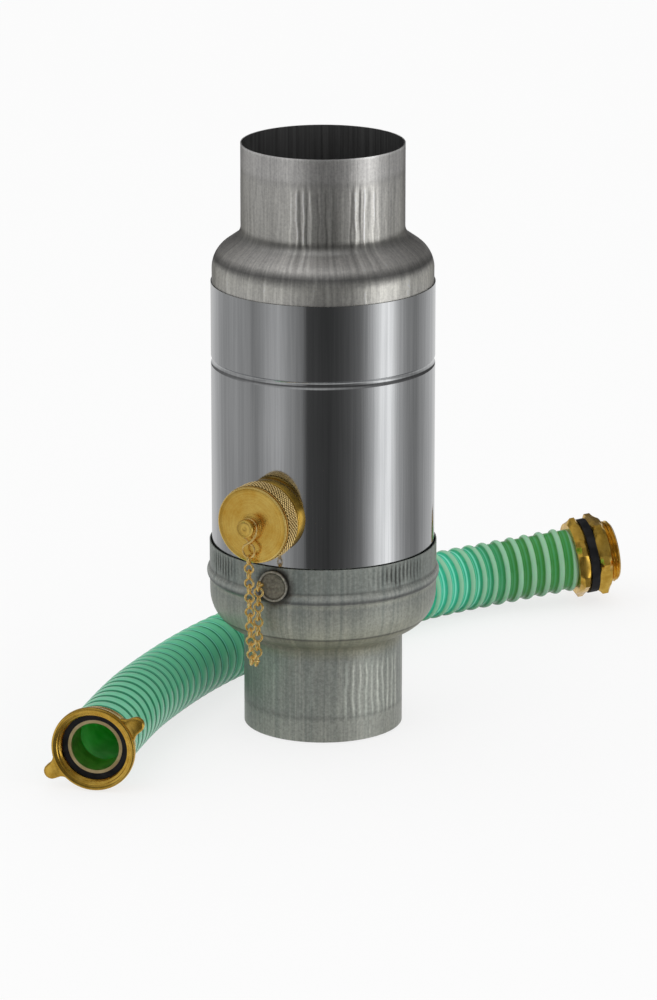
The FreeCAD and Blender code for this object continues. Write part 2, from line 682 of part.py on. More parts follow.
def make_tank_seal():
    low = FLANGE_WIDTH + SEAT_GAP
    seal = ring(THREAD_RADIUS + THREAD_GAP, TANK_SEAL_RADIUS, low, low + TANK_SEAL_WIDTH)
    return placed(seal, TANK_PLACE)


def make_tank_nut():
    low = FLANGE_WIDTH + TANK_SEAL_WIDTH + 2 * SEAT_GAP
    high = low + TANK_NUT_WIDTH
    bore = Part.makeCylinder(THREAD_RADIUS + THREAD_GAP, high)
    return placed(hexagon(HEX_ACROSS_FLATS, low, high, 0).cut(bore), TANK_PLACE)


def all_parts():
    parts = {
        "upper_funnel": make_upper_funnel(),
        "housing": make_housing(),
        "catch_ring": make_catch_ring(),
        "lower_funnel": make_lower_funnel(),
        "outlet_nipple": make_outlet_nipple(),
        "outlet_cap": make_cap(),
        "cap_gasket": make_cap_gasket(),
        "cap_hook": make_cap_hook(),
        "chain_anchor": make_chain_anchor(),
        "hose": make_hose(),
        "union_tail": make_union_tail(),
        "union_seal": make_union_seal(),
        "union_nut": make_union_nut(),
        "tank_connector": make_tank_connector(),
        "tank_seal": make_tank_seal(),
        "tank_nut": make_tank_nut(),
    }
    for index, link in enumerate(make_links(), start=1):
        parts["chain_link_%02d" % index] = link
    return parts


os.makedirs("parts", exist_ok=True)
for name, shape in all_parts().items():
    solids = shape.Solids
    if not shape.isValid() or len(solids) != 1:
        print("check", name, shape.isValid(), len(solids))
    solids[0].exportStep("parts/%s.step" % name)
    box = shape.BoundBox
    print(name, round(shape.Volume / 1000, 2), "cm3", round(box.ZMin, 1), round(box.ZMax, 1))
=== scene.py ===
import math

import bmesh
import bpy
import numpy as np
from mathutils import Matrix, Vector


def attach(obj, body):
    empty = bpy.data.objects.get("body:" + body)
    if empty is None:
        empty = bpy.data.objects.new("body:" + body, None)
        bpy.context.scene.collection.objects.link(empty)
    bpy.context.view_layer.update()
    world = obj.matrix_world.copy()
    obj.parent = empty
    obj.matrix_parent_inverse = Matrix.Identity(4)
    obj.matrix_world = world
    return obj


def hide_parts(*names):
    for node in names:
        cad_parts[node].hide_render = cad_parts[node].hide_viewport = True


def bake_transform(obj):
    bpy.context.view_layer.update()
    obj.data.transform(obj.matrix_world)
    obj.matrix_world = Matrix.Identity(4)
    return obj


bl_info = {
    "name": "Rainwater Diverter",
    "version": (1, 0, 0),
    "blender": (4, 5, 0),
    "location": "View3D > Sidebar > Diverter",
    "description": "Visual model of a zinc rainwater diverter with its hose set",
    "category": "Object",
}

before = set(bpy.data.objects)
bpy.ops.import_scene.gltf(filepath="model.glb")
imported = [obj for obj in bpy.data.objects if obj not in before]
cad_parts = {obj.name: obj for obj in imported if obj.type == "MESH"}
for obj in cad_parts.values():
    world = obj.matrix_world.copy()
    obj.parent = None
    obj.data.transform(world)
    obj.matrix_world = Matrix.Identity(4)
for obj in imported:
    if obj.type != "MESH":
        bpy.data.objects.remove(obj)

MM = 0.001
TURN = 2 * math.pi

# Sheet metal, in millimetres, as the CAD model has it
SHEET = 0.7
NECK_RADIUS = 50.7
NECK_ROOT = 319.5
RIM_HEIGHT = 371.3
SKIRT_RADIUS = 68.7
SKIRT_END = 238.2
HOUSING_RADIUS = 69.5
HOUSING_TOP = 284.5
HOUSING_FOOT = 81.75
GROOVE_HEIGHT = 235.0
COLLAR_RADIUS = 71.0
COLLAR_TOP = 118.5
BEAD_HEIGHT = 98.5
BOWL_RADIUS = 70.8
BOWL_START = 85.9
SPIGOT_RADIUS = 49.7

# Brass outlet, distances along its axis from the housing's axis
OUTLET_BEARING = math.radians(28.5)
OUTLET_HEIGHT = 150.0
OUTLET_BORE = 16.0
OUTLET_PIPE = 19.0
OUTLET_HOLE = 19.05
OUTLET_PIPE_START = 63.8
OUTLET_COLLAR = 23.4
THREAD_RADIUS = 20.95
THREAD_DEPTH = 1.3
THREAD_PITCH = 2.309
COLLAR_FACE = 74.1
OUTLET_END = 86.3
CAP_REAR = 74.7
CAP_FACE = 90.8
CAP_CEILING = 88.4
CAP_RADIUS = 23.95
KNURL_RADIUS = 24.5
KNOB_NECK = 4.0

# Wire, chain and disc; the hook hangs in the knob's neck with a little play
WIRE_RADIUS = 0.72
HOOK_OUT = 94.7
HOOK_BEND = 5.2
HOOK_PLAY = 0.25
LINK_RADIUS = 2.75
FRONT_LINKS = 8
BACK_LINKS = 5
DISC_BEARING = math.radians(25.1)
DISC_HEIGHT = 106.8
DISC_STAND = 1.2
DISC_FOOT_LIFT = 0.7
EYE_BEARING = math.radians(31.0)
EYE_OUTREACH = 5.6

# Hose fittings, heights along their axis out of the hose
FITTING_FACETS = 192
BARB_RADIUS = 16.6
BARB_BORE = 15.0
TANK_BARB = 40.0
NUT_THROAT = 18.3
NUT_REAR = 1.8
NUT_SHOULDER = 4.8
NUT_RIM = 17.0
NUT_THREAD_END = 11.2
NUT_REAR_RADIUS = 23.2
NUT_RIM_RADIUS = 26.2
EAR_REACH = 36.5
EAR_LOW = 10.8
EAR_HIGH = 15.4
EAR_TILT = math.radians(32.0)
EAR_CENTRE = 28.0
EAR_HALF = 6.5
HEX_HALF = 24.5
HEX_CORNER = HEX_HALF / math.cos(math.pi / 6)
HEX_RISE = 2.48
FLANGE_WIDTH = 8.0
TANK_NUT_LOW = 13.7
TANK_NUT_HIGH = 22.7
BARREL_END = 29.8

# Hose; its rib stands up more beyond a share of the length, over a further share
HOSE_RADIUS = 21.75
HOSE_BORE = 17.0
RIB_RISE_START = 0.35
RIB_RISE_SPAN = 0.2
RIB_FADE = 2.5
STEPS_A_RIB = 14
HOSE_ROUTE = [
    (-135.6, -123.8, 26.3),
    (-122.2, -66.0, 26.3),
    (-106.0, -6.0, 21.8),
    (-82.0, 48.0, 21.8),
    (-52.0, 97.0, 21.8),
    (-12.5, 140.0, 21.8),
    (34.0, 180.0, 21.8),
    (77.0, 216.5, 21.8),
    (120.0, 241.5, 22.5),
    (167.0, 253.0, 28.4),
]

# Share of brass that reflects as metal; the rest is its dull skin
BRASS_METAL = 0.95

# Camera of the front view
CAMERA_PLACE = (0.003397, -3.15526, 1.05887)
CAMERA_PITCH = math.radians(16.1868)
CAMERA_LENS = 189.37

# Round room whose tones the metal reflects, and the floor, in metres
ROOM_RADIUS = 8.0
FLOOR_HEIGHT = -0.0006


# Node materials

def new_material(name):
    """Empty node material, its tree and its shader."""
    material = bpy.data.materials.new(name)
    material.use_nodes = True
    tree = material.node_tree
    return material, tree, tree.nodes["Principled BSDF"]


def set_shader(shader, **values):
    """Sets a shader's own sockets, each named in lower case with underlines."""
    for key, value in values.items():
        name = key.replace("_", " ").title().replace("Ior", "IOR")
        shader.inputs[name].default_value = value


def object_place(tree):
    return tree.nodes.new("ShaderNodeTexCoord").outputs["Object"]


def parts_of(tree, vector):
    """The X, Y and Z outputs of a vector."""
    node = tree.nodes.new("ShaderNodeSeparateXYZ")
    tree.links.new(vector, node.inputs["Vector"])
    return node.outputs


def vector_node(tree, operation, first, second=None):
    """Outputs of a vector operation on a link and, if given, a link or constant."""
    node = tree.nodes.new("ShaderNodeVectorMath")
    node.operation = operation
    tree.links.new(first, node.inputs[0])
    if isinstance(second, tuple):
        node.inputs[1].default_value = second
    elif isinstance(second, float):
        node.inputs["Scale"].default_value = second
    elif second is not None:
        tree.links.new(second, node.inputs[1])
    return node.outputs


def stretched_noise(tree, scale, detail=3.0, roughness=0.55, place=None):
    """Noise over object coordinates, scaled along each axis in features a metre."""
    if place is None:
        place = object_place(tree)
    mapping = tree.nodes.new("ShaderNodeMapping")
    mapping.inputs["Scale"].default_value = scale
    noise = tree.nodes.new("ShaderNodeTexNoise")
    noise.inputs["Scale"].default_value = 1.0
    noise.inputs["Detail"].default_value = detail
    noise.inputs["Roughness"].default_value = roughness
    tree.links.new(place, mapping.inputs["Vector"])
    tree.links.new(mapping.outputs["Vector"], noise.inputs["Vector"])
    return noise.outputs["Fac"]


def grey(value):
    return (value, value, value)


def ramp(tree, value, stops):
    """Colour from a value between 0 and 1; a stop is (position, colour or grey level)."""
    node = tree.nodes.new("ShaderNodeValToRGB")
    elements = node.color_ramp.elements
    while len(elements) < len(stops):
        elements.new(0.5)
    for element, (position, colour) in zip(elements, stops):
        element.position = position
        element.color = (*(grey(colour) if isinstance(colour, float) else colour), 1.0)
    tree.links.new(value, node.inputs["Fac"])
    return node.outputs["Color"]


def math_node(tree, operation, first, second=None, third=None, clamp=False):
    node = tree.nodes.new("ShaderNodeMath")
    node.operation = operation
    node.use_clamp = clamp
    for index, value in enumerate((first, second, third)):
        if value is None:
            continue
        if isinstance(value, (int, float)):
            node.inputs[index].default_value = value
        else:
            tree.links.new(value, node.inputs[index])
    return node.outputs["Value"]


def mix_colour(tree, share, first, second, blend="MIX"):
    """Colour between two; each of share, first and second is a link or a constant."""
    node = tree.nodes.new("ShaderNodeMix")
    node.data_type = "RGBA"
    node.blend_type = blend
    for socket, value in (("Factor", share), ("A", first), ("B", second)):
        target = [s for s in node.inputs if s.name == socket and
                  s.type == ("VALUE" if socket == "Factor" else "RGBA")][0]
        if isinstance(value, (int, float)):
            target.default_value = value
        elif isinstance(value, tuple):
            target.default_value = (*value, 1.0)
        else:
            tree.links.new(value, target)
    return [s for s in node.outputs if s.type == "RGBA"][0]


def multiplied(tree, first, second):
    return mix_colour(tree, 1.0, first, second, "MULTIPLY")


def add_bump(tree, shader, height, strength, distance):
    node = tree.nodes.new("ShaderNodeBump")
    node.inputs["Strength"].default_value = strength
    node.inputs["Distance"].default_value = distance
    tree.links.new(height, node.inputs["Height"])
    tree.links.new(node.outputs["Normal"], shader.inputs["Normal"])


def round_place(tree):
    """Coordinates that turn with the bearing and rise with the height, and that height, in metres."""
    place = object_place(tree)
    height = parts_of(tree, place)["Z"]
    level = vector_node(tree, "MULTIPLY", place, (1.0, 1.0, 0.0))["Vector"]
    unit = vector_node(tree, "NORMALIZE", level)["Vector"]
    turn = vector_node(tree, "SCALE", unit, 0.06)["Vector"]
    upright = tree.nodes.new("ShaderNodeCombineXYZ")
    tree.links.new(height, upright.inputs["Z"])
    return vector_node(tree, "ADD", turn, upright.outputs["Vector"])["Vector"], height


def zinc_material(name, dark, light, roughness, grain, metallic=1.0, edge=1.0, speckle=0.0,
                  painted_light_bands=(), relief=0.0, disc_shadow=False, grain_scale=(520.0, 520.0, 7.0)):
    """Sheet zinc with upright drawing grain and soft cloudy tarnish.

    edge is the share of gloss that the metal keeps at a glancing angle. The height bands list
    pairs of a height and a colour factor, which paint light and shade in bands. relief is how much
    a millimetre of the sheet's marks lightens or darkens it, a painted highlight on the ridges and
    painted shade in the grooves. The disc option paints the disc's shadow on the collar round it.
    """
    material, tree, shader = new_material(name)
    place, height = round_place(tree)
    streaks = stretched_noise(tree, grain_scale, 4.0, 0.65, place)
    clouds = stretched_noise(tree, (16.0, 16.0, 9.0), 3.0, 0.5)
    both = math_node(tree, "MULTIPLY_ADD", streaks, 0.62, math_node(tree, "MULTIPLY", clouds, 0.38))
    colour = ramp(tree, both, [(0.40, dark), (0.60, light)])
    if speckle:
        dots = stretched_noise(tree, (560.0, 560.0, 560.0), 4.0, 0.75)
        shade = ramp(tree, dots, [(0.35, 1 - speckle), (0.65, 1 + speckle)])
        colour = multiplied(tree, colour, shade)
    # Painted light and shade in bands by height.
    if painted_light_bands:
        top = painted_light_bands[-1][0]
        share = math_node(tree, "MULTIPLY", height, 1 / (top * MM), clamp=True)
        painted_band = ramp(tree, share, [(level / top, factor) for level, factor in painted_light_bands])
        colour = multiplied(tree, colour, painted_band)
    # Painted shade in the grooves of the sheet's marks and a painted highlight on their ridges, read from
    # the mesh's relief.
    if relief:
        marks = tree.nodes.new("ShaderNodeAttribute")
        marks.attribute_name = "relief"
        share = math_node(tree, "MULTIPLY_ADD", marks.outputs["Fac"], relief / 2, 0.5, clamp=True)
        shade = ramp(tree, share, [(0.0, 0.25), (0.5, 1.0), (1.0, (2.0, 2.0, 1.97))])
        colour = multiplied(tree, colour, shade)
    # Painted shadow of the disc: a near-black patch on the collar round it, with a ragged edge.
    if disc_shadow:
        mark = bearing_vector(DISC_BEARING) * COLLAR_RADIUS * MM
        centre = (mark.x, mark.y, (DISC_HEIGHT - 1.0) * MM)
        away = vector_node(tree, "DISTANCE", object_place(tree), centre)["Value"]
        shadow_wobble = stretched_noise(tree, (220.0, 220.0, 160.0), 3.0, 0.6)
        reach = math_node(tree, "MULTIPLY_ADD", shadow_wobble, -0.006, away)
        share = ramp(tree, math_node(tree, "MULTIPLY", reach, 50.0), [(0.38, 0.85), (0.58, 0.0)])
        colour = mix_colour(tree, share, colour, (0.03, 0.026, 0.02))
    tree.links.new(colour, shader.inputs["Base Color"])
    set_shader(shader, metallic=metallic, roughness=roughness, specular_tint=(*grey(edge), 1.0))
    add_bump(tree, shader, streaks, grain, 0.0004)
    return material


# Colour factors by height in millimetres, of the upper and the lower funnel. They paint light and
# shade in bands: painted reflection bands on the upper funnel's shoulder and a painted highlight on
# its rim's edge; painted shade lines above and below the lower funnel's bead and at its bowl's crease,
# a warmer tone on the bowl, and painted light from the floor, lighter towards the foot.
SPUN_PAINTED_LIGHT = [
    (280.0, (1.0, 1.0, 0.97)), (294.0, (1.05, 1.05, 1.0)), (297.5, (0.95, 0.95, 0.92)), (300.0, 0.42),
    (302.0, (0.62, 0.62, 0.61)), (304.5, (1.05, 1.04, 1.02)), (310.5, (0.92, 0.91, 0.90)),
    (313.5, (0.74, 0.74, 0.73)), (317.5, (0.50, 0.50, 0.48)), (320.5, (0.86, 0.86, 0.83)),
    (352.0, (0.90, 0.90, 0.88)), (355.0, (0.80, 0.80, 0.79)), (358.0, 0.95), (369.8, 0.95),
    (370.6, 1.35), (371.3, 1.35)]
DULL_PAINTED_LIGHT = [
    (0.0, (1.4, 1.4, 1.33)), (13.0, (1.3, 1.3, 1.25)), (15.5, (0.95, 0.97, 0.93)),
    (18.0, (1.15, 1.17, 1.13)), (52.0, (1.15, 1.17, 1.13)), (57.0, (1.1, 1.08, 0.92)),
    (60.0, (0.80, 0.77, 0.60)), (63.0, (1.0, 0.97, 0.75)), (70.6, (0.95, 0.92, 0.72)),
    (71.6, (0.32, 0.31, 0.26)), (72.8, (1.3, 1.28, 1.10)), (82.0, (1.25, 1.25, 1.15)),
    (92.0, (1.0, 1.02, 0.98)), (94.5, (1.25, 1.25, 1.15)), (95.6, (1.1, 1.1, 1.05)), (96.4, 0.45),
    (97.6, (0.50, 0.51, 0.52)), (98.6, (1.0, 1.02, 1.02)), (100.0, (1.35, 1.37, 1.35)),
    (101.6, (1.1, 1.12, 1.1)), (102.6, (0.62, 0.64, 0.63)), (104.0, (0.95, 1.0, 0.98)),
    (120.0, (1.0, 1.05, 1.02))]


def solder_material(name):
    """Grey solder of the disc, with a painted highlight along its raised rim and painted shade in the dip
    inside the rim and round its edge.
    """
    material, tree, shader = new_material(name)
    flat = vector_node(tree, "MULTIPLY", object_place(tree), (1.0, 1.0, 0.0))["Vector"]
    reach = vector_node(tree, "LENGTH", flat)["Value"]
    # Painted shade in the dip inside the rim and round the edge, and a painted highlight on the raised
    # rim.
    tone = ramp(tree, math_node(tree, "DIVIDE", reach, 0.0105), [
        (0.0, (0.20, 0.19, 0.155)), (0.68, (0.17, 0.16, 0.13)), (0.78, (0.07, 0.065, 0.05)),
        (0.84, (0.36, 0.345, 0.30)), (0.91, (0.29, 0.28, 0.24)), (0.945, (0.03, 0.027, 0.022)),
        (1.0, (0.03, 0.027, 0.022))])
    spots = stretched_noise(tree, (420.0, 420.0, 420.0), 4.0, 0.65)
    shade = ramp(tree, spots, [(0.32, (0.55, 0.55, 0.54)), (0.66, (1.4, 1.4, 1.38))])
    tree.links.new(multiplied(tree, tone, shade), shader.inputs["Base Color"])
    set_shader(shader, metallic=0.4, roughness=0.38)
    add_bump(tree, shader, spots, 0.5, 0.0004)
    return material


def brass_material(name, dark, light, roughness, scale=(90.0, 90.0, 90.0), metallic=BRASS_METAL):
    material, tree, shader = new_material(name)
    tarnish = stretched_noise(tree, scale, 4.0, 0.6)
    tree.links.new(ramp(tree, tarnish, [(0.36, dark), (0.62, light)]), shader.inputs["Base Color"])
    set_shader(shader, metallic=metallic, roughness=roughness)
    return material


def turned_brass_material(name, dark, light, roughness):
    """Brass of the cap, turned round the object's own Z axis: painted highlights on its edges and rings,
    a painted highlight on the knurl's crests, dirt and painted shade in its valleys.
    """
    material, tree, shader = new_material(name)
    place = parts_of(tree, object_place(tree))
    along = place["Z"]
    flat = tree.nodes.new("ShaderNodeCombineXYZ")
    tree.links.new(place["X"], flat.inputs["X"])
    tree.links.new(place["Y"], flat.inputs["Y"])
    reach = vector_node(tree, "LENGTH", flat.outputs["Vector"])["Value"]
    radial = tree.nodes.new("ShaderNodeCombineXYZ")
    tree.links.new(reach, radial.inputs["X"])
    tree.links.new(along, radial.inputs["Y"])
    rings = stretched_noise(tree, (2600.0, 900.0, 1.0), 3.0, 0.6, radial.outputs["Vector"])
    tarnish = stretched_noise(tree, (85.0, 85.0, 85.0), 4.0, 0.6)

    def over(value, limit):
        return math_node(tree, "GREATER_THAN", value, limit * MM)

    def both(first, second):
        return math_node(tree, "MULTIPLY", first, second)

    def near(limit):
        return math_node(tree, "COMPARE", along, limit * MM, 0.45 * MM)

    tone = math_node(tree, "MULTIPLY_ADD", rings, 0.35, both(tarnish, 0.65))
    colour = ramp(tree, tone, [(0.36, dark), (0.62, light)])
    # Painted highlights in pale gold on the face's rim edge, the front ridge and a rear ring.
    edge = both(over(along, CAP_FACE - 0.9), over(reach, CAP_RADIUS - 0.9))
    ridge = both(near(CAP_FACE - 2.7), over(reach, CAP_RADIUS - 0.1))
    painted_highlight_mask = math_node(tree, "MAXIMUM", math_node(tree, "MAXIMUM", edge, ridge), near(CAP_REAR + 2.1))
    painted_glint = both(painted_highlight_mask, 0.5)
    colour = mix_colour(tree, painted_glint, colour, (1.0, 0.76, 0.28))
    depth = math_node(tree, "MULTIPLY_ADD", reach, 1 / (0.6 * MM), (0.62 - KNURL_RADIUS) / 0.6,
                      clamp=True)
    front = math_node(tree, "LESS_THAN", along, (CAP_FACE - 3.2) * MM)
    band = both(over(reach, CAP_RADIUS - 1.2), both(front, over(along, CAP_REAR + 2.6)))
    # Dirt and painted shade in the knurl's valleys, and a painted highlight on its crests.
    dirt_and_shade = both(band, math_node(tree, "SUBTRACT", 1.0, depth))
    crest = both(band, ramp(tree, depth, [(0.55, 0.0), (0.8, 1.0)]))
    colour = mix_colour(tree, both(crest, 0.75), colour, (1.0, 0.76, 0.38))
    colour = mix_colour(tree, ramp(tree, dirt_and_shade, [(0.25, 0.0), (0.6, 1.0)]), colour, (0.05, 0.028, 0.01))
    tree.links.new(colour, shader.inputs["Base Color"])
    # Less metal where highlights are painted, so that their pale colour shows.
    plain = both(math_node(tree, "MAXIMUM", painted_glint, crest), -0.45)
    tree.links.new(math_node(tree, "ADD", plain, BRASS_METAL), shader.inputs["Metallic"])
    set_shader(shader, roughness=roughness)
    add_bump(tree, shader, rings, 0.25, 0.0002)
    return material


def rubber_material(name):
    material, tree, shader = new_material(name)
    dust = stretched_noise(tree, (160.0, 160.0, 160.0), 3.0)
    tree.links.new(ramp(tree, dust, [(0.35, (0.007, 0.007, 0.008)), (0.7, (0.018, 0.018, 0.020))]),
                   shader.inputs["Base Color"])
    set_shader(shader, roughness=0.55, specular_ior_level=0.2)
    return material


def hose_material(name):
    """Green flexible tube with a paler spiral rib and painted reflection stripes beside it.

    The tube's UV map "spiral" gives turn, the place across one turn of the rib, and way, the
    share of the length from the union nut; wide is where the rib stands far apart.
    """
    material, tree, shader = new_material(name)
    uv = tree.nodes.new("ShaderNodeUVMap")
    uv.uv_map = "spiral"
    place = parts_of(tree, uv.outputs["UV"])
    turn = math_node(tree, "FRACT", place["X"])
    way = place["Y"]

    def band(low, high, soft):
        return ramp(tree, turn, [(low, 0.0), (low + soft, 1.0), (high - soft, 1.0), (high, 0.0)])

    wide = ramp(tree, way, [(0.38, 0.0), (0.55, 1.0)])
    rib = mix_colour(tree, wide, band(0.15, 0.92, 0.05), band(0.28, 0.72, 0.06))
    clouds = stretched_noise(tree, (60.0, 60.0, 60.0), 3.0)
    deep = ramp(tree, way, [(0.0, (0.015, 0.15, 0.07)), (0.18, (0.015, 0.18, 0.08)),
                            (0.45, (0.015, 0.26, 0.12)), (0.58, (0.03, 0.48, 0.27)),
                            (0.80, (0.04, 0.56, 0.34)), (0.86, (0.03, 0.36, 0.16)),
                            (0.91, (0.045, 0.24, 0.035)), (1.0, (0.05, 0.27, 0.035))])
    pale = ramp(tree, way, [(0.0, (0.21, 0.58, 0.38)), (0.35, (0.13, 0.62, 0.34)),
                            (0.60, (0.28, 0.66, 0.46)), (0.95, (0.33, 0.56, 0.37))])
    # Painted reflection: thin pale turquoise stripes beside the rib, strongest along the middle of the
    # hose.
    line = ramp(tree, turn, [(0.05, 0.0), (0.08, 1.0), (0.13, 1.0), (0.17, 0.0)])
    painted_gleam = ramp(tree, turn, [(0.0, 1.0), (0.08, 1.0), (0.14, 0.0), (0.78, 0.0), (0.84, 0.6),
                              (0.90, 0.0), (0.96, 0.0), (1.0, 1.0)])
    painted_gleam = mix_colour(tree, wide, line, painted_gleam)
    clear = ramp(tree, way, [(0.12, 0.05), (0.3, 0.7), (0.5, 0.85), (0.6, 0.85), (0.84, 0.8),
                             (0.88, 0.12), (1.0, 0.12)])
    deep = mix_colour(tree, multiplied(tree, painted_gleam, clear), deep, (0.26, 0.88, 0.66))
    colour = mix_colour(tree, rib, deep, pale)
    colour = mix_colour(tree, math_node(tree, "MULTIPLY", clouds, 0.15), colour, (0.06, 0.50, 0.26))
    tree.links.new(colour, shader.inputs["Base Color"])
    set_shader(shader, roughness=0.22, ior=1.45, specular_ior_level=0.5, subsurface_weight=0.3,
               subsurface_radius=(0.25, 1.0, 0.5), subsurface_scale=0.006)
    return material


def bore_material(name):
    """The tube's wet-looking inner wall, lit through the green."""
    material, tree, shader = new_material(name)
    clouds = stretched_noise(tree, (90.0, 90.0, 90.0), 3.0)
    tree.links.new(ramp(tree, clouds, [(0.35, (0.22, 0.58, 0.24)), (0.65, (0.36, 0.74, 0.38))]),
                   shader.inputs["Base Color"])
    set_shader(shader, roughness=0.12, subsurface_weight=0.6, subsurface_radius=(0.3, 1.0, 0.5),
               subsurface_scale=0.012)
    return material


# Mesh building

def bearing_vector(angle):
    """Level direction out of the housing, turned from the front towards the left."""
    return Vector((-math.sin(angle), -math.cos(angle), 0.0))


def facing(origin, axis):
    """Matrix whose local Z runs along an axis, with local X level; origin in metres."""
    side = Vector((0.0, 0.0, 1.0)).cross(axis).normalized()
    matrix = Matrix((side, axis.cross(side), axis)).transposed().to_4x4()
    matrix.translation = origin
    return matrix


def mesh_object(name, points, faces, material, sharp=32.0, matrix=None, relief=None):
    """Smooth-shaded object from points in metres, with an edge where faces turn by sharp degrees."""
    mesh = bpy.data.meshes.new(name)
    mesh.from_pydata(points, [], faces)
    if relief is not None:
        mesh.attributes.new("relief", "FLOAT", "POINT").data.foreach_set("value", relief)
    build = bmesh.new()
    build.from_mesh(mesh)
    bmesh.ops.remove_doubles(build, verts=build.verts, dist=1e-7)
    bmesh.ops.recalc_face_normals(build, faces=build.faces)
    build.to_mesh(mesh)
    build.free()
    mesh.materials.append(material)
    mesh.polygons.foreach_set("use_smooth", [True] * len(mesh.polygons))
    mesh.set_sharp_from_angle(angle=math.radians(sharp))
    obj = bpy.data.objects.new(name, mesh)
    if matrix is not None:
        obj.matrix_world = matrix
    bpy.context.scene.collection.objects.link(obj)
    bpy.context.view_layer.update()
    return obj


def grid_faces(rows, columns, close_rows, close_columns):
    faces = []
    for row in range(rows if close_rows else rows - 1):
        here = row * columns
        there = (row + 1) % rows * columns
        for column in range(columns if close_columns else columns - 1):
            beside = (column + 1) % columns
            faces.append((here + column, here + beside, there + beside, there + column))
    return faces


def dense(outline, step):
    """Outline points with extra ones so that no gap is longer than step."""
    points = []
    for start, end in zip(outline, outline[1:]):
        count = max(1, math.ceil(math.dist(start, end) / step))
        for index in range(count):
            share = index / count
            points.append(tuple(a + (b - a) * share for a, b in zip(start, end)))
    return points + [outline[-1]]


def turned_grid(outline, segments):
    """Radii, heights and angles of an outline's (radius, height) points turned round Z."""
    angles = np.arange(segments)[None, :] * TURN / segments
    radii = np.array([point[0] for point in outline])[:, None] + np.zeros_like(angles)
    heights = np.array([point[1] for point in outline])[:, None] + np.zeros_like(angles)
    return radii, heights, angles


def lathe_points(outline, segments, shift=None):
    """Points of a turned outline and their radial shifts; angle 0 is the front."""
    radii, heights, angles = turned_grid(outline, segments)
    relief = np.zeros(radii.shape)
    if shift is not None:
        relief = shift(angles, heights)
        radii = radii + relief
    points = np.stack([radii * np.sin(angles), -radii * np.cos(angles), heights], axis=-1) * MM
    return points.reshape(-1, 3).tolist(), relief.reshape(-1)


def lathe(name, outline, material, segments, shift):
    """Sheet piece from a closed outline, with its marks kept as the mesh's relief."""
    points, relief = lathe_points(outline, segments, shift)
    faces = grid_faces(len(outline), segments, True, True)
    return mesh_object(name, points, faces, material, relief=relief)


def bend_points(upper_radius, upper_z, lower_radius, upper_bend, lower_bend, lean, count=14):
    """Ogee between two upright walls, from the upper one down to the lower one."""
    way = math.copysign(1.0, lower_radius - upper_radius)
    across = abs(lower_radius - upper_radius) - (upper_bend + lower_bend) * (1 - math.cos(lean))
    straight = across / math.sin(lean)
    lower_z = upper_z - (upper_bend + lower_bend) * math.sin(lean) - straight * math.cos(lean)
    points = []
    for step in range(count + 1):
        angle = lean * step / count
        points.append((upper_radius + way * upper_bend * (1 - math.cos(angle)),
                       upper_z - upper_bend * math.sin(angle)))
    for step in range(count, -1, -1):
        angle = lean * step / count
        points.append((lower_radius - way * lower_bend * (1 - math.cos(angle)),
                       lower_z + lower_bend * math.sin(angle)))
    return points


def roll_points(radius, height, half_width, depth, offset, count=12):
    """Curve of a bead rolled into a wall, depth outwards, measured on a face offset inwards."""
    bend = (half_width ** 2 + depth ** 2) / (2 * abs(depth))
    way = math.copysign(1.0, depth)
    centre = radius + depth - way * bend
    reach = bend - way * offset
    half = math.asin(math.sqrt(reach ** 2 - (radius - offset - centre) ** 2) / reach)
    points = []
    for step in range(count + 1):
        angle = half - 2 * half * step / count
        points.append((centre + way * reach * math.cos(angle), height + reach * math.sin(angle)))
    return points


def tube(points, radius, sides, closed):
    """Rings of points round a line; returns (vertices, faces)."""
    line = [Vector(point) for point in points]
    count = len(line)
    normal = None
    rings = []
    for index, point in enumerate(line):
        if closed:
            ahead = line[(index + 1) % count] - line[index - 1]
        else:
            ahead = line[min(index + 1, count - 1)] - line[max(index - 1, 0)]
        ahead.normalize()
        if normal is None:
            normal = ahead.orthogonal().normalized()
        normal = (normal - ahead * normal.dot(ahead)).normalized()
        rings.append((point, normal.copy(), ahead.cross(normal)))
    turn = 0.0
    if closed:
        last = rings[-1][1]
        first = rings[0][1]
        way = (line[1] - line[-1]).normalized()
        carried = (last - way * last.dot(way)).normalized()
        turn = math.atan2(carried.cross(first).dot(way), carried.dot(first))
    vertices = []
    for index, (point, across, up) in enumerate(rings):
        start = turn * index / count
        for side in range(sides):
            angle = start + side * TURN / sides
            vertices.append(point + across * radius * math.cos(angle) + up * radius * math.sin(angle))
    faces = grid_faces(count, sides, closed, True)
    if not closed:
        faces.append(tuple(range(sides))[::-1])
        faces.append(tuple(range((count - 1) * sides, count * sides)))
    return vertices, faces


def smooth_line(controls, closed, steps):
    """Catmull-Rom line through the control points."""
    points = [Vector(point) for point in controls]
    count = len(points)
    line = []
    for index in range(count if closed else count - 1):
        if closed:
            a, b, c, d = (points[(index + offset) % count] for offset in (-1, 0, 1, 2))
        else:
            a, b = points[max(index - 1, 0)], points[index]
            c, d = points[index + 1], points[min(index + 2, count - 1)]
        for step in range(steps):
            t = step / steps
            line.append(0.5 * ((2 * b) + (c - a) * t + (2 * a - 5 * b + 4 * c - d) * t ** 2
                               + (3 * b - a - 3 * c + d) * t ** 3))
    if not closed:
        line.append(points[-1])
    return line


def joined(name, pieces, material, sharp=40.0, matrix=None):
    """One mesh object from several (vertices, faces) lists."""
    points, faces = [], []
    for vertices, polygons in pieces:
        start = len(points)
        points += [tuple(point) for point in vertices]
        faces += [tuple(start + corner for corner in polygon) for polygon in polygons]
    return mesh_object(name, points, faces, material, sharp, matrix)


# Marks that drawing and crimping leave in the sheet

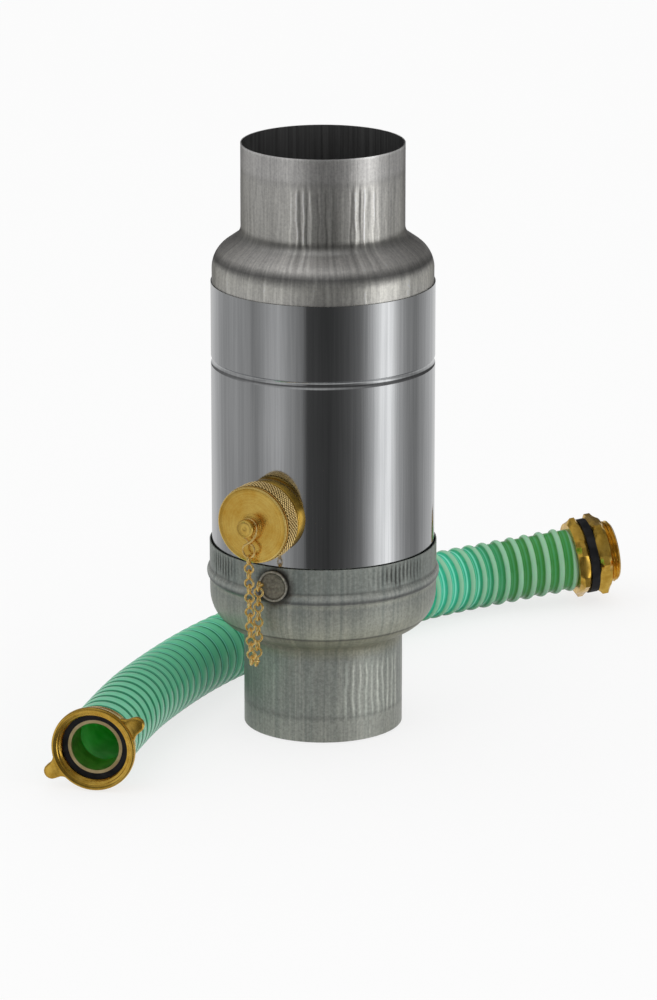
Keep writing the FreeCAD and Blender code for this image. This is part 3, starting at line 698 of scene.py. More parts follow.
def mark_shift(seed, count, low, high, width, depth, radius, strong=()):
    """Radial shift in millimetres: upright wandering ridges and grooves.

    strong lists (bearing in degrees to the right, depth) of marks given one by one.
    """
    random = np.random.RandomState(seed)
    marks = []
    for _ in range(count):
        marks.append((random.uniform(0, TURN), random.uniform(0.5, 1.6) * width / radius,
                      random.uniform(-1, 1) * depth, random.uniform(0, TURN),
                      random.uniform(0.2, 1.0), low + random.uniform(-1, 1) * 3,
                      high + random.uniform(-1, 1) * 2.5))
    for angle, size in strong:
        marks.append((math.radians(angle), 0.75 * width / radius, size,
                      random.uniform(0, TURN), random.uniform(0.3, 0.7), low, high))

    def shift(angles, heights):
        total = np.zeros(np.broadcast(angles, heights).shape)
        for centre, wide, size, phase, wander, bottom, top in marks:
            drift = wander * wide * (np.sin(heights / 6.1 + phase) + 0.5 * np.sin(heights / 2.7 - phase))
            away = (angles - centre - drift + math.pi) % TURN - math.pi
            fade = (1 / (1 + np.exp(-(heights - bottom) / 1.2))
                    / (1 + np.exp((heights - top) / 1.2)))
            total += size * np.exp(-(away / wide) ** 2) * fade
        return total

    return shift


def gather_shift(seed, pitch_degrees, low, high, depth, patches):
    """Radial shift of even crimps, strongest at the patches (bearing, half width in degrees)."""
    random = np.random.RandomState(seed)
    count = round(360.0 / pitch_degrees)
    phases = random.uniform(-0.5, 0.5, count)

    def shift(angles, heights):
        cell = angles / TURN * count
        wobble = phases[np.floor(cell).astype(int) % count]
        strength = np.full(np.broadcast(angles, heights).shape, 0.18)
        for bearing, half in patches:
            away = (angles - math.radians(bearing) + math.pi) % TURN - math.pi
            strength += np.exp(-(away / math.radians(half)) ** 4)
        fade = (1 / (1 + np.exp(-(heights - low - wobble * 4) / 1.0))
                / (1 + np.exp((heights - high) / 1.0)))
        wave = 0.5 - 0.5 * np.cos(TURN * (cell + 0.03 * np.sin(heights / 1.9)))
        return -depth * strength * fade * wave ** 2

    return shift


def wave_shift(seed, depth):
    """Radial shift of a rolled drum that isn't quite round."""
    random = np.random.RandomState(seed)
    waves = [(order, random.uniform(0, TURN), random.uniform(0.3, 1.0) / order)
             for order in (4, 5, 7, 9, 13, 18)]

    def shift(angles, heights):
        total = 0.0
        for order, phase, share in waves:
            total = total + share * np.sin(order * angles + phase + heights / 170.0)
        return depth * total + np.zeros(np.broadcast(angles, heights).shape)

    return shift


def summed(*shifts):
    def shift(angles, heights):
        return sum(part(angles, heights) for part in shifts)
    return shift


# Sheet metal

def sheet_outline(outer, inner, step):
    """Closed outline from a sheet's outer and inner faces, both from the top down."""
    return dense(outer, step) + dense(inner, step)[::-1]


def paint_inside_shade(obj, material):
    """Gives the faces that look towards the housing's axis a material of their own, whose dark colour
    paints the shade inside.
    """
    obj.data.materials.append(material)
    for polygon in obj.data.polygons:
        if polygon.normal.x * polygon.center.x + polygon.normal.y * polygon.center.y < -1e-4:
            polygon.material_index = 1


def build_upper_funnel(settings, material, inside):
    """Neck, ogee shoulder and the skirt inside the housing."""
    def side(offset):
        line = [(NECK_RADIUS - offset, RIM_HEIGHT)]
        line += bend_points(NECK_RADIUS - offset, NECK_ROOT, SKIRT_RADIUS - offset,
                            9.0 + offset, 18.0 - offset, math.radians(55.0))
        return line + [(SKIRT_RADIUS - offset, SKIRT_END)]

    strong = [(-22.5, 0.14), (-18.2, 0.26), (-15.6, -0.16), (-13.2, 0.22), (-10.8, -0.12), (-8.1, 0.16),
              (-3.0, -0.14), (-0.5, 0.05), (2.0, -0.14), (4.4, 0.05), (6.6, -0.10), (19.5, -0.12),
              (22.8, 0.20), (26.0, -0.14), (29.6, 0.22), (33.0, -0.12), (37.4, 0.15), (42.0, 0.10)]
    marks = mark_shift(11, settings.mark_count, NECK_ROOT - 3.0, 352.0, 1.0,
                       settings.mark_depth / MM, NECK_RADIUS, strong)
    fine = mark_shift(12, settings.mark_count, 304.0, 319.0, 1.0,
                      0.5 * settings.mark_depth / MM, NECK_RADIUS,
                      [(bearing, 0.5 * size) for bearing, size in strong])
    skirt = mark_shift(13, 2 * settings.mark_count, 284.0, 302.0, 0.9,
                       0.9 * settings.mark_depth / MM, SKIRT_RADIUS)
    obj = lathe("upper_funnel_skin", sheet_outline(side(0.0), side(SHEET), 2.2), material,
                settings.segments, summed(marks, fine, skirt))
    paint_inside_shade(obj, inside)
    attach(obj, "root")
    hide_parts("upper_funnel")
    return obj


def build_lower_funnel(settings, material):
    """Collar with its bead, bowl and spigot."""
    def side(offset):
        line = [(COLLAR_RADIUS - offset, COLLAR_TOP)]
        line += roll_points(COLLAR_RADIUS, BEAD_HEIGHT, 3.6, 1.7, offset)
        line += bend_points(BOWL_RADIUS - offset, BOWL_START, SPIGOT_RADIUS - offset,
                            24.0 - offset, 6.0 + offset, math.radians(65.0))
        return line + [(SPIGOT_RADIUS - offset, 0.0)]

    strong = [(16.4 + 5.4 * index, 0.30) for index in range(10)]
    marks = mark_shift(21, settings.mark_count, 15.0, 50.0, 1.1,
                       settings.mark_depth / MM, SPIGOT_RADIUS, strong)
    gathers = gather_shift(22, 2.7, 105.0, 117.0, settings.gather_depth / MM,
                           [(44.0, 15.0), (-62.0, 12.0), (150.0, 20.0)])
    obj = lathe("lower_funnel_skin", sheet_outline(side(0.0), side(SHEET), 2.2), material,
                settings.segments, summed(marks, gathers))
    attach(obj, "root")
    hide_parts("lower_funnel")
    return obj


def bored(obj, radius, matrix, length):
    """Cuts a round hole along the matrix's Z axis through the object's mesh."""
    bpy.ops.mesh.primitive_cylinder_add(vertices=96, radius=radius * MM, depth=length * MM)
    cutter = bpy.context.active_object
    cutter.matrix_world = matrix @ Matrix.Translation((0.0, 0.0, length * MM / 2))
    modifier = obj.modifiers.new("hole", "BOOLEAN")
    modifier.operation = "DIFFERENCE"
    modifier.solver = "EXACT"
    modifier.object = cutter
    bpy.context.view_layer.update()
    depsgraph = bpy.context.evaluated_depsgraph_get()
    mesh = bpy.data.meshes.new_from_object(obj.evaluated_get(depsgraph))
    obj.modifiers.clear()
    obj.data = mesh
    bpy.data.objects.remove(cutter)
    mesh.set_sharp_from_angle(angle=math.radians(32.0))


def outlet_matrix():
    """Local Z runs along the outlet, from the housing's axis."""
    return facing((0.0, 0.0, OUTLET_HEIGHT * MM), bearing_vector(OUTLET_BEARING))


def build_housing(settings, material):
    """Cylinder with its rolled groove and the outlet's hole."""
    def side(offset):
        radius = HOUSING_RADIUS - offset
        groove = roll_points(HOUSING_RADIUS, GROOVE_HEIGHT, 2.5, -1.3, offset)
        return [(radius, HOUSING_TOP)] + groove + [(radius, HOUSING_FOOT)]

    obj = lathe("housing_skin", sheet_outline(side(0.0), side(SHEET), 12.0), material,
                settings.segments, wave_shift(31, settings.wave_depth / MM))
    bored(obj, OUTLET_HOLE, outlet_matrix(), 90.0)
    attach(obj, "root")
    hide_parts("housing")
    return obj


# Brass

def cut_rows(rows):
    """Points round Z for rows of (radius, height, thread depth, hexagon corner angle or None)."""
    angles = np.arange(FITTING_FACETS) * TURN / FITTING_FACETS
    points = []
    for row in rows:
        radius, height = row[:2]
        depth = row[2] if len(row) > 2 else 0.0
        corner = row[3] if len(row) > 3 else None
        phase = (height / THREAD_PITCH - angles / TURN) % 1.0
        reach = radius + depth * (1 - 2 * np.abs(phase - 0.5))
        if corner is not None:
            away = (angles - corner) % (math.pi / 3) - math.pi / 6
            reach = np.minimum(reach, HEX_HALF / np.cos(away))
        points.append(np.stack([reach * np.cos(angles), reach * np.sin(angles),
                                np.full(FITTING_FACETS, float(height))], axis=-1))
    return np.array(points)


def thread_rows(low, high, radius, depth, steps=9):
    count = max(2, round((high - low) / THREAD_PITCH * steps))
    return [(radius, low + (high - low) * index / count, depth) for index in range(count + 1)]


def fitting(name, points, material, matrix, extra=()):
    """Turned or hexagonal piece from cut_rows points, with further closed meshes joined in."""
    body = ((points * MM).reshape(-1, 3).tolist(), grid_faces(len(points), FITTING_FACETS, True, True))
    return joined(name, [body, *extra], material, 33.0, matrix)


def hose_end(first, second):
    """Local Z runs out of the hose's end at one route point, away from the next one."""
    end = Vector(HOSE_ROUTE[first])
    return facing(end * MM, (end - Vector(HOSE_ROUTE[second])).normalized())


def ear(turn):
    """Wing of the union nut: a rounded tab that flares into the rim."""
    side = [(23.0, 8.4), (25.6, 7.6), (27.0, 6.3), (28.4, 5.5), (30.0, 5.2), (31.6, 5.0),
            (34.0, 4.3), (35.5, 3.0), (36.3, 1.4)]
    outline = side + [(EAR_REACH, 0.0)] + [(x, -y) for x, y in side[::-1]]
    levels = [(EAR_LOW, 1.3), (EAR_LOW + 0.35, 0.5), (EAR_LOW + 1.0, 0.08), (EAR_LOW + 1.6, 0.0),
              (EAR_HIGH - 1.6, 0.0), (EAR_HIGH - 1.0, 0.08), (EAR_HIGH - 0.35, 0.5), (EAR_HIGH, 1.3)]
    vertices = []
    for height, inset in levels:
        share = 1 - inset / EAR_HALF
        for x, y in outline:
            x, y = EAR_CENTRE + (x - EAR_CENTRE) * share, y * share
            vertices.append(Vector((x * math.cos(turn) - y * math.sin(turn),
                                    x * math.sin(turn) + y * math.cos(turn), height)) * MM)
    count = len(outline)
    faces = grid_faces(len(levels), count, False, True)
    faces.append(tuple(range(count))[::-1])
    faces.append(tuple(range((len(levels) - 1) * count, len(levels) * count)))
    return vertices, faces


def build_nipple(material):
    """Threaded outlet, with a collar that fits the housing's curve."""
    rows = [(OUTLET_BORE, OUTLET_PIPE_START), (OUTLET_PIPE, OUTLET_PIPE_START), (OUTLET_PIPE, 0.0),
            (OUTLET_COLLAR, 0.0), (OUTLET_COLLAR, COLLAR_FACE - 1.2),
            (OUTLET_COLLAR - 0.15, COLLAR_FACE - 0.6), (OUTLET_COLLAR - 0.6, COLLAR_FACE - 0.15),
            (OUTLET_COLLAR - 1.2, COLLAR_FACE), (THREAD_RADIUS - 1.2, COLLAR_FACE)]
    rows += thread_rows(COLLAR_FACE + 0.3, OUTLET_END - 0.9, THREAD_RADIUS, -THREAD_DEPTH)
    rows += [(THREAD_RADIUS - 1.3, OUTLET_END - 0.4), (THREAD_RADIUS - 1.5, OUTLET_END),
             (OUTLET_BORE, OUTLET_END)]
    points = cut_rows(rows)
    for seat in (2, 3):
        points[seat, :, 2] = np.sqrt(HOUSING_RADIUS ** 2 - points[seat, :, 0] ** 2)
    obj = fitting("outlet_nipple_skin", points, material, outlet_matrix())
    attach(obj, "root")
    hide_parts("outlet_nipple")
    return obj


def build_union_nut(material):
    """Flared nut with a rolled rim, an inner thread and two ears."""
    rim = NUT_RIM_RADIUS
    rows = [(NUT_THROAT, NUT_REAR), (NUT_REAR_RADIUS - 0.8, NUT_REAR),
            (NUT_REAR_RADIUS - 0.2, NUT_REAR + 0.25), (NUT_REAR_RADIUS, NUT_REAR + 0.8),
            (NUT_REAR_RADIUS, NUT_SHOULDER), (24.6, 11.6), (25.2, 12.6), (rim - 0.35, 13.1),
            (rim - 0.05, 13.6), (rim, 14.2), (rim, 15.6), (rim - 0.12, 16.3), (rim - 0.45, 16.8),
            (rim - 1.0, NUT_RIM), (rim - 1.7, NUT_RIM - 0.05), (rim - 2.1, NUT_RIM - 0.35),
            (rim - 2.5, NUT_RIM - 0.4), (rim - 3.3, NUT_RIM - 0.6), (rim - 3.7, NUT_RIM - 1.1)]
    rows += thread_rows(NUT_THREAD_END, NUT_RIM - 1.3, THREAD_RADIUS, 0.9)[::-1]
    rows += [(THREAD_RADIUS + 0.5, NUT_THREAD_END - 0.1), (THREAD_RADIUS + 0.5, NUT_SHOULDER),
             (NUT_THROAT, NUT_SHOULDER)]
    obj = fitting("union_nut_skin", cut_rows(rows), material, hose_end(0, 1),
                  [ear(EAR_TILT), ear(EAR_TILT + math.pi)])
    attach(obj, "union_nut")
    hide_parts("union_nut")
    return obj


def build_tank_fittings(material):
    """Barbed tail with its hexagonal flange and barrel, and the nut on the barrel."""
    up = math.pi / 2
    rows = [(BARB_BORE, -TANK_BARB)]
    for ridge in range(3):
        start = -TANK_BARB + ridge * TANK_BARB / 3
        rows += [(BARB_RADIUS - 0.3, start), (BARB_RADIUS, start + TANK_BARB / 3 * 0.8)]
    rows += [(BARB_RADIUS - 0.3, 0.0), (HEX_HALF - 0.5, 0.0, 0.0, up), (HEX_CORNER, HEX_RISE, 0.0, up),
             (HEX_CORNER, FLANGE_WIDTH - HEX_RISE, 0.0, up), (HEX_HALF - 0.5, FLANGE_WIDTH, 0.0, up),
             (THREAD_RADIUS - 1.2, FLANGE_WIDTH)]
    rows += thread_rows(FLANGE_WIDTH + 0.3, BARREL_END - 1.2, THREAD_RADIUS, -THREAD_DEPTH)
    rows += [(THREAD_RADIUS - 1.4, BARREL_END - 0.5), (THREAD_RADIUS - 1.7, BARREL_END),
             (BARB_BORE, BARREL_END)]
    body = fitting("tank_connector_skin", cut_rows(rows), material, hose_end(-1, -2))
    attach(body, "root")
    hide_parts("tank_connector")
    bore = THREAD_RADIUS + 0.07
    rows = [(bore, TANK_NUT_LOW + 0.8), (bore + 0.8, TANK_NUT_LOW),
            (HEX_HALF - 0.5, TANK_NUT_LOW, 0.0, 0.0), (HEX_CORNER, TANK_NUT_LOW + HEX_RISE, 0.0, 0.0),
            (HEX_CORNER, TANK_NUT_HIGH - HEX_RISE, 0.0, 0.0), (HEX_HALF - 0.5, TANK_NUT_HIGH, 0.0, 0.0),
            (bore + 0.8, TANK_NUT_HIGH), (bore, TANK_NUT_HIGH - 0.8)]
    nut = fitting("tank_nut_skin", cut_rows(rows), material, hose_end(-1, -2))
    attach(nut, "tank_nut")
    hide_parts("tank_nut")


def build_cap(settings, material):
    """Screw cap with two smooth rims, a knurled band between them and a turned knob."""
    low, high = CAP_REAR + 2.6, CAP_FACE - 3.2
    smooth = CAP_RADIUS
    pitch = settings.knurl_pitch / MM
    bore = THREAD_RADIUS + 0.07
    rear = [(bore, CAP_CEILING), (bore, CAP_REAR + 0.5), (bore + 0.5, CAP_REAR),
            (smooth - 0.7, CAP_REAR), (smooth - 0.2, CAP_REAR + 0.2), (smooth, CAP_REAR + 0.7),
            (smooth, CAP_REAR + 1.05), (smooth - 0.35, CAP_REAR + 1.2), (smooth - 0.35, CAP_REAR + 1.4),
            (smooth, CAP_REAR + 1.55), (smooth, low - 0.15), (smooth - 0.5, low)]
    count = round((high - low) / (0.5 * pitch)) * 4
    rows = slice(len(rear), len(rear) + count)
    knurl = [(smooth - 0.5, low + (high - low) * (row + 0.5) / count) for row in range(count)]
    front = [(smooth - 0.6, high), (smooth - 0.6, high + 0.15), (smooth, high + 0.25),
             (smooth + 0.1, high + 0.5), (smooth, high + 0.8), (smooth - 0.95, high + 0.95),
             (smooth - 0.95, high + 1.6), (smooth - 0.3, high + 1.7), (smooth - 0.05, high + 1.85),
             (smooth - 0.05, CAP_FACE - 0.75), (smooth - 0.2, CAP_FACE - 0.35), (smooth - 0.85, CAP_FACE)]
    face = [(radius, CAP_FACE) for radius in (20.0, 15.0, 11.0, 8.0, 7.2)]
    boss = [(7.2, CAP_FACE + 0.25), (7.0, CAP_FACE + 0.45), (6.4, CAP_FACE + 0.5), (6.3, CAP_FACE + 0.8),
            (6.1, CAP_FACE + 0.95), (5.6, CAP_FACE + 1.0), (5.5, CAP_FACE + 1.3), (5.3, CAP_FACE + 1.45),
            (4.7, CAP_FACE + 1.6), (4.0, CAP_FACE + 1.75), (4.0, 96.8), (4.1, 97.0), (5.2, 97.0),
            (5.45, 97.1), (5.6, 97.4), (5.6, 99.6), (5.5, 99.95), (5.25, 100.2), (4.6, 100.3),
            (4.4, 100.2), (4.2, 100.3), (2.2, 100.4), (1.2, 100.38), (0.6, 100.1), (0.0, 100.05)]
    outline = rear + knurl + front + face + boss + [(0.0, CAP_CEILING)]
    teeth = round(TURN * smooth / pitch)
    segments = teeth * 8
    radii, heights, angles = turned_grid(outline, segments)
    across = angles / TURN * teeth
    along = (heights[rows] - low) / pitch
    first = np.abs((across + along) % 1.0 - 0.5) * 2
    second = np.abs((across - along) % 1.0 - 0.5) * 2
    crest = (np.minimum(first, second) * 2.0).clip(0.0, 1.0)
    radii[rows] = KNURL_RADIUS - settings.knurl_depth / MM * (1.0 - crest)
    points = np.stack([radii * np.cos(angles), radii * np.sin(angles), heights], axis=-1) * MM
    faces = grid_faces(len(outline), segments, True, True)
    obj = mesh_object("outlet_cap_skin", points.reshape(-1, 3).tolist(), faces, material, 35.0,
                      outlet_matrix())
    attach(obj, "cap")
    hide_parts("outlet_cap")
    return obj


# Wire

def hook_place():
    """Where the hook hangs, level with the housing's axis, in millimetres."""
    return bearing_vector(OUTLET_BEARING) * HOOK_OUT


def eye_place():
    """Where the disc's eye stands, at the same level."""
    return bearing_vector(EYE_BEARING) * (COLLAR_RADIUS + EYE_OUTREACH)


def toward_eye():
    """Level direction from the hook to the eye."""
    return (eye_place() - hook_place()).normalized()


def build_hook(material):
    """Wire bent round the knob's neck and down into the first link."""
    lift = KNOB_NECK + HOOK_PLAY + WIRE_RADIUS - HOOK_BEND
    origin = hook_place() * MM
    origin.z = (OUTLET_HEIGHT + lift) * MM
    controls = [(-1.4, -10.6, -0.75), (-3.3, -7.6, -0.6), (-4.9, -3.6, -0.3), (-5.15, 0.8, 0.0),
                (-3.6, 3.8, 0.0), (0.0, 5.2, 0.0), (3.6, 3.8, 0.0), (5.15, 0.8, 0.0),
                (4.9, -3.6, 0.2), (3.0, -7.4, 0.55), (0.2, -9.9, 0.7), (-2.6, -11.8, 0.5),
                (-4.1, -14.2, 0.0), (-3.3, -17.6, 0.0), (-0.4, -19.4, 0.0), (2.9, -17.8, 0.0),
                (4.0, -14.4, 0.0), (2.6, -11.6, -0.4), (-0.6, -9.4, -0.75), (-3.4, -6.9, -0.9)]
    start = smooth_line(controls[:5], False, 6)[6:-1]
    line = [point * MM for point in start + smooth_line(controls[4:], False, 6)]
    obj = joined("cap_hook_skin", [tube(line, WIRE_RADIUS * MM, 12, False)], material, 60.0,
                 facing(origin, bearing_vector(OUTLET_BEARING)))
    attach(obj, "cap_carrier")
    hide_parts("cap_hook")
    return obj


def link_line(centre, way, first, second):
    """Closed figure-of-eight wire line of one link; the loops stand square to each other."""
    diagonal = (first + second).normalized()
    r = LINK_RADIUS
    controls = [
        centre - way * r,
        centre - way * 0.72 * r + first * 0.74 * r,
        centre + first * 0.98 * r,
        centre + way * 0.66 * r + first * 0.66 * r,
        centre + way * r + diagonal * 0.62,
        centre + way * 1.34 * r + second * 0.66 * r,
        centre + way * 2 * r + second * 0.98 * r,
        centre + way * 2.72 * r + second * 0.74 * r,
        centre + way * 3 * r,
        centre + way * 2.72 * r - second * 0.74 * r,
        centre + way * 2 * r - second * 0.98 * r,
        centre + way * 1.34 * r - second * 0.66 * r,
        centre + way * r - diagonal * 0.62,
        centre + way * 0.66 * r - first * 0.66 * r,
        centre - first * 0.98 * r,
        centre - way * 0.72 * r - first * 0.74 * r,
    ]
    return [point * MM for point in smooth_line(controls, True, 4)]


def link_frame(index):
    """Centre of a link's upper loop, the way along the link and the two loops' directions."""
    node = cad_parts[f"chain_link_{index:02d}"]
    points = np.array([tuple(vertex.co) for vertex in node.data.vertices]) / MM
    centre = points.mean(axis=0)
    spread = np.linalg.eigh(np.cov((points - centre).T))
    way = Vector(spread[1][:, -1]).normalized()
    rising = index > FRONT_LINKS
    if (way.z > 0) != rising:
        way = -way
    level = Vector((0.0, 0.0, 1.0)).cross(toward_eye())
    in_plane = level.cross(way).normalized()
    start = Vector(centre) - way * LINK_RADIUS
    return start, way, in_plane, level


def build_chain(material):
    """Two strands of links; the front one hangs between the hook and the lowest link."""
    strands = []
    for name, first, last in (("chain_front", 1, FRONT_LINKS),
                              ("chain_back", FRONT_LINKS + 1, FRONT_LINKS + BACK_LINKS)):
        pieces = []
        for index in range(first, last + 1):
            start, way, in_plane, level = link_frame(index)
            line = link_line(start, way, in_plane, level)
            pieces.append(tube(line, WIRE_RADIUS * MM, 10, True))
        obj = joined(name, pieces, material, 60.0)
        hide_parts(*[f"chain_link_{index:02d}" for index in range(first, last + 1)])
        strands.append(obj)
    front, back = strands
    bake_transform(front)
    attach(back, "root")


def build_anchor(metal, wire):
    """Disc with a raised rim, whose foot clears the collar's bead, and the chain's eye."""
    bearing = bearing_vector(DISC_BEARING)
    face = COLLAR_RADIUS + DISC_STAND
    random = np.random.RandomState(5)
    rows = [(0.0, 0.0), (2.0, 0.0), (4.0, 0.02), (6.0, 0.05), (7.4, 0.05), (8.1, 0.2), (8.5, 0.62),
            (8.9, 0.85), (9.4, 0.8), (9.75, 0.5), (9.85, 0.0)]
    segments = 96
    angles = np.arange(segments) * TURN / segments
    wobble = sum(random.uniform(0.02, 0.12) * np.sin(order * angles + random.uniform(0, TURN))
                 for order in (2, 3, 5, 7, 11))
    points = []
    for radius, lift in rows:
        reach = radius * (1 + 0.012 * wobble * (radius / 9.0))
        foot = DISC_FOOT_LIFT * np.clip((-reach * np.sin(angles) - 4.5) / 3.0, 0.0, 1.0)
        height = face + lift + foot + 0.45 * wobble * (radius / 9.85) ** 3
        points.append(np.stack([reach * np.cos(angles), reach * np.sin(angles),
                                height + np.zeros(segments)], axis=-1))
    skirt = 10.1
    depth = np.sqrt(COLLAR_RADIUS ** 2 - (skirt * np.cos(angles)) ** 2) - 0.35
    points.append(np.stack([skirt * np.cos(angles), skirt * np.sin(angles), depth], axis=-1))
    points.append(np.stack([0 * angles, 0 * angles, 0 * angles + COLLAR_RADIUS - 0.4], axis=-1))
    vertices = (np.array(points) * MM).reshape(-1, 3).tolist()
    faces = grid_faces(len(points), segments, True, True)
    disc = mesh_object("anchor_disc", vertices, faces, metal, 35.0,
                       facing((0.0, 0.0, DISC_HEIGHT * MM), bearing))
    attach(disc, "root")
    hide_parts("chain_anchor")
    out = bearing_vector(EYE_BEARING)
    toward = toward_eye()
    up = Vector((0.0, 0.0, 1.0))
    height = up * DISC_HEIGHT
    centre = eye_place() + height
    loop = []
    for step in range(32):
        angle = step * TURN / 32
        loop.append((centre + (toward * math.cos(angle) + up * math.sin(angle)) * LINK_RADIUS) * MM)
    stem = [(out * reach + height) * MM for reach in (COLLAR_RADIUS - 0.5, COLLAR_RADIUS + 3.0)]
    eye = joined("anchor_eye", [tube(loop, WIRE_RADIUS * MM, 10, True),
                                tube(stem, 1.2 * MM, 12, False)], wire, 60.0)
    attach(eye, "root")
    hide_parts("chain_anchor")


# Hose

def route_line(step):
    """Even points along the hose's smooth line, in millimetres, and their spacing."""
    curve = bpy.data.curves.new("hose_route", "CURVE")
    curve.dimensions = "3D"
    curve.resolution_u = 96
    spline = curve.splines.new("NURBS")
    spline.points.add(len(HOSE_ROUTE) - 1)
    for point, place in zip(spline.points, HOSE_ROUTE):
        point.co = (*place, 1.0)
    spline.order_u = 3
    spline.use_endpoint_u = True
    holder = bpy.data.objects.new("hose_route", curve)
    traced = bpy.data.meshes.new_from_object(holder)
    line = [vertex.co.copy() for vertex in traced.vertices]
    bpy.data.objects.remove(holder)
    bpy.data.curves.remove(curve)
    bpy.data.meshes.remove(traced)
    total = sum((b - a).length for a, b in zip(line, line[1:]))
    count = round(total / step)
    spacing = total / count
    even = [line[0]]
    travelled, target = 0.0, spacing
    for start, end in zip(line, line[1:]):
        length = (end - start).length
        while target <= travelled + length + 1e-9 and len(even) < count:
            even.append(start + (end - start) * ((target - travelled) / length))
            target += spacing
        travelled += length
    return even + [line[-1]], spacing


def build_hose(settings, material, bore):
    """Hose with a spiral rib, low and broad at the union nut; returns it and its path."""
    pitch = settings.rib_pitch / MM
    rib = settings.rib_height / MM
    line, spacing = route_line(pitch / STEPS_A_RIB)
    segments = settings.hose_segments
    total = spacing * (len(line) - 1)
    angles = np.arange(segments) * TURN / segments
    normal = Vector((0.0, 0.0, 1.0))
    outer, inner, coords = [], [], []
    for index, point in enumerate(line):
        ahead = (line[min(index + 1, len(line) - 1)] - line[max(index - 1, 0)]).normalized()
        normal = (normal - ahead * normal.dot(ahead)).normalized()
        side = ahead.cross(normal)
        along = index * spacing
        away = np.abs((along / pitch - angles / TURN) % 1.0 - 0.5)
        rise = min(max((along / total - RIB_RISE_START) / RIB_RISE_SPAN, 0.0), 1.0)
        half = 0.42 - 0.18 * rise
        bump = np.clip(1 - (away / half) ** 2, 0.0, 1.0) ** 0.6
        height = rib * (0.3 + 0.7 * rise)
        fade = min(1.0, min(along, total - along) / RIB_FADE)
        radii = HOSE_RADIUS - height * (1.0 - bump * fade)
        base = np.array(point)[None, :]
        around = np.cos(angles)[:, None] * np.array(side) + np.sin(angles)[:, None] * np.array(normal)
        outer.append(base + radii[:, None] * around)
        coords.append((along / pitch, along / total))
        if index % 7 == 0 or index == len(line) - 1:
            inner.append(base + HOSE_BORE * around)
    vertices = (np.array(outer + inner[::-1]) * MM).reshape(-1, 3).tolist()
    faces = grid_faces(len(outer) + len(inner), segments, True, True)
    mesh = bpy.data.meshes.new("hose_skin")
    mesh.from_pydata(vertices, [], faces)
    corners = np.array(faces)
    row, column = corners // segments, corners % segments
    wraps = (column == 0) & (column[:, [1]] == 0)
    turns = (column + np.where(wraps, segments, 0)) / segments
    places = np.array(coords + [(0.0, 0.0)] * len(inner))
    values = places[row]
    values[..., 0] += 1.0 - turns
    mesh.uv_layers.new(name="spiral").data.foreach_set("uv", values.reshape(-1))
    mesh.materials.append(material)
    mesh.materials.append(bore)
    within = np.all(row >= len(outer), axis=1)
    mesh.polygons.foreach_set("material_index", within.astype(int))
    mesh.polygons.foreach_set("use_smooth", [True] * len(mesh.polygons))
    mesh.set_sharp_from_angle(angle=math.radians(50.0))
    mesh.update()
    obj = bpy.data.objects.new("hose_skin", mesh)
    bpy.context.scene.collection.objects.link(obj)
    bpy.context.view_layer.update()
    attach(obj, "root")
    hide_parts("hose")
    path = [tuple(point * MM) for point in line[::8] + [line[-1]]]
    return obj, path[::-1]


# Settings and operators

def paint_nodes(material, *names):
    """Gives solids that are shown as they are a material of the scene."""
    for name in names:
        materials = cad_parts[name].data.materials
        materials.clear()
        materials.append(material)


class DiverterSheetSettings(bpy.types.PropertyGroup):
    segments: bpy.props.IntProperty(
        name="Segments", description="Facets round each sheet piece", default=512, min=96, max=720)
    mark_count: bpy.props.IntProperty(
        name="Marks", description="Drawing marks round each neck", default=90, min=0, max=300)
    mark_depth: bpy.props.FloatProperty(
        name="Mark depth", description="Depth of the drawing marks", default=0.00007,
        unit="LENGTH", subtype="DISTANCE")
    gather_depth: bpy.props.FloatProperty(
        name="Gather depth", description="Depth of the collar's crimps", default=0.00045,
        unit="LENGTH", subtype="DISTANCE")
    wave_depth: bpy.props.FloatProperty(
        name="Out of round", description="Waviness of the rolled housing", default=0.0001,
        unit="LENGTH", subtype="DISTANCE")


class DiverterBrassSettings(bpy.types.PropertyGroup):
    knurl_pitch: bpy.props.FloatProperty(
        name="Knurl pitch", description="Distance between the knurl's points", default=0.0024,
        unit="LENGTH", subtype="DISTANCE")
    knurl_depth: bpy.props.FloatProperty(
        name="Knurl depth", description="Height of the knurl's points", default=0.0006,
        unit="LENGTH", subtype="DISTANCE")


class DiverterChainSettings(bpy.types.PropertyGroup):
    polish: bpy.props.FloatProperty(
        name="Wire roughness", description="Roughness of the brass wire", default=0.13,
        min=0.0, max=1.0, subtype="FACTOR")


class DiverterHoseSettings(bpy.types.PropertyGroup):
    rib_pitch: bpy.props.FloatProperty(
        name="Rib pitch", description="Distance between the spiral's turns", default=0.0103,
        unit="LENGTH", subtype="DISTANCE")
    rib_height: bpy.props.FloatProperty(
        name="Rib height", description="How far the spiral rib stands out", default=0.0018,
        unit="LENGTH", subtype="DISTANCE")
    hose_segments: bpy.props.IntProperty(
        name="Segments", description="Facets round the hose", default=96, min=24, max=160)


class DiverterStageSettings(bpy.types.PropertyGroup):
    key_power: bpy.props.FloatProperty(
        name="Key power", description="Power of the large soft lamp", default=6.0,
        min=0.0, unit="POWER", subtype="POWER")
    shadow: bpy.props.FloatProperty(
        name="Shadow", description="Share of the floor's shadow that the camera sees", default=0.25,
        min=0.0, max=1.0, subtype="FACTOR")
    daylight: bpy.props.FloatProperty(
        name="Daylight", description="Strength of the even light from all sides", default=0.95,
        min=0.0, max=2.0)


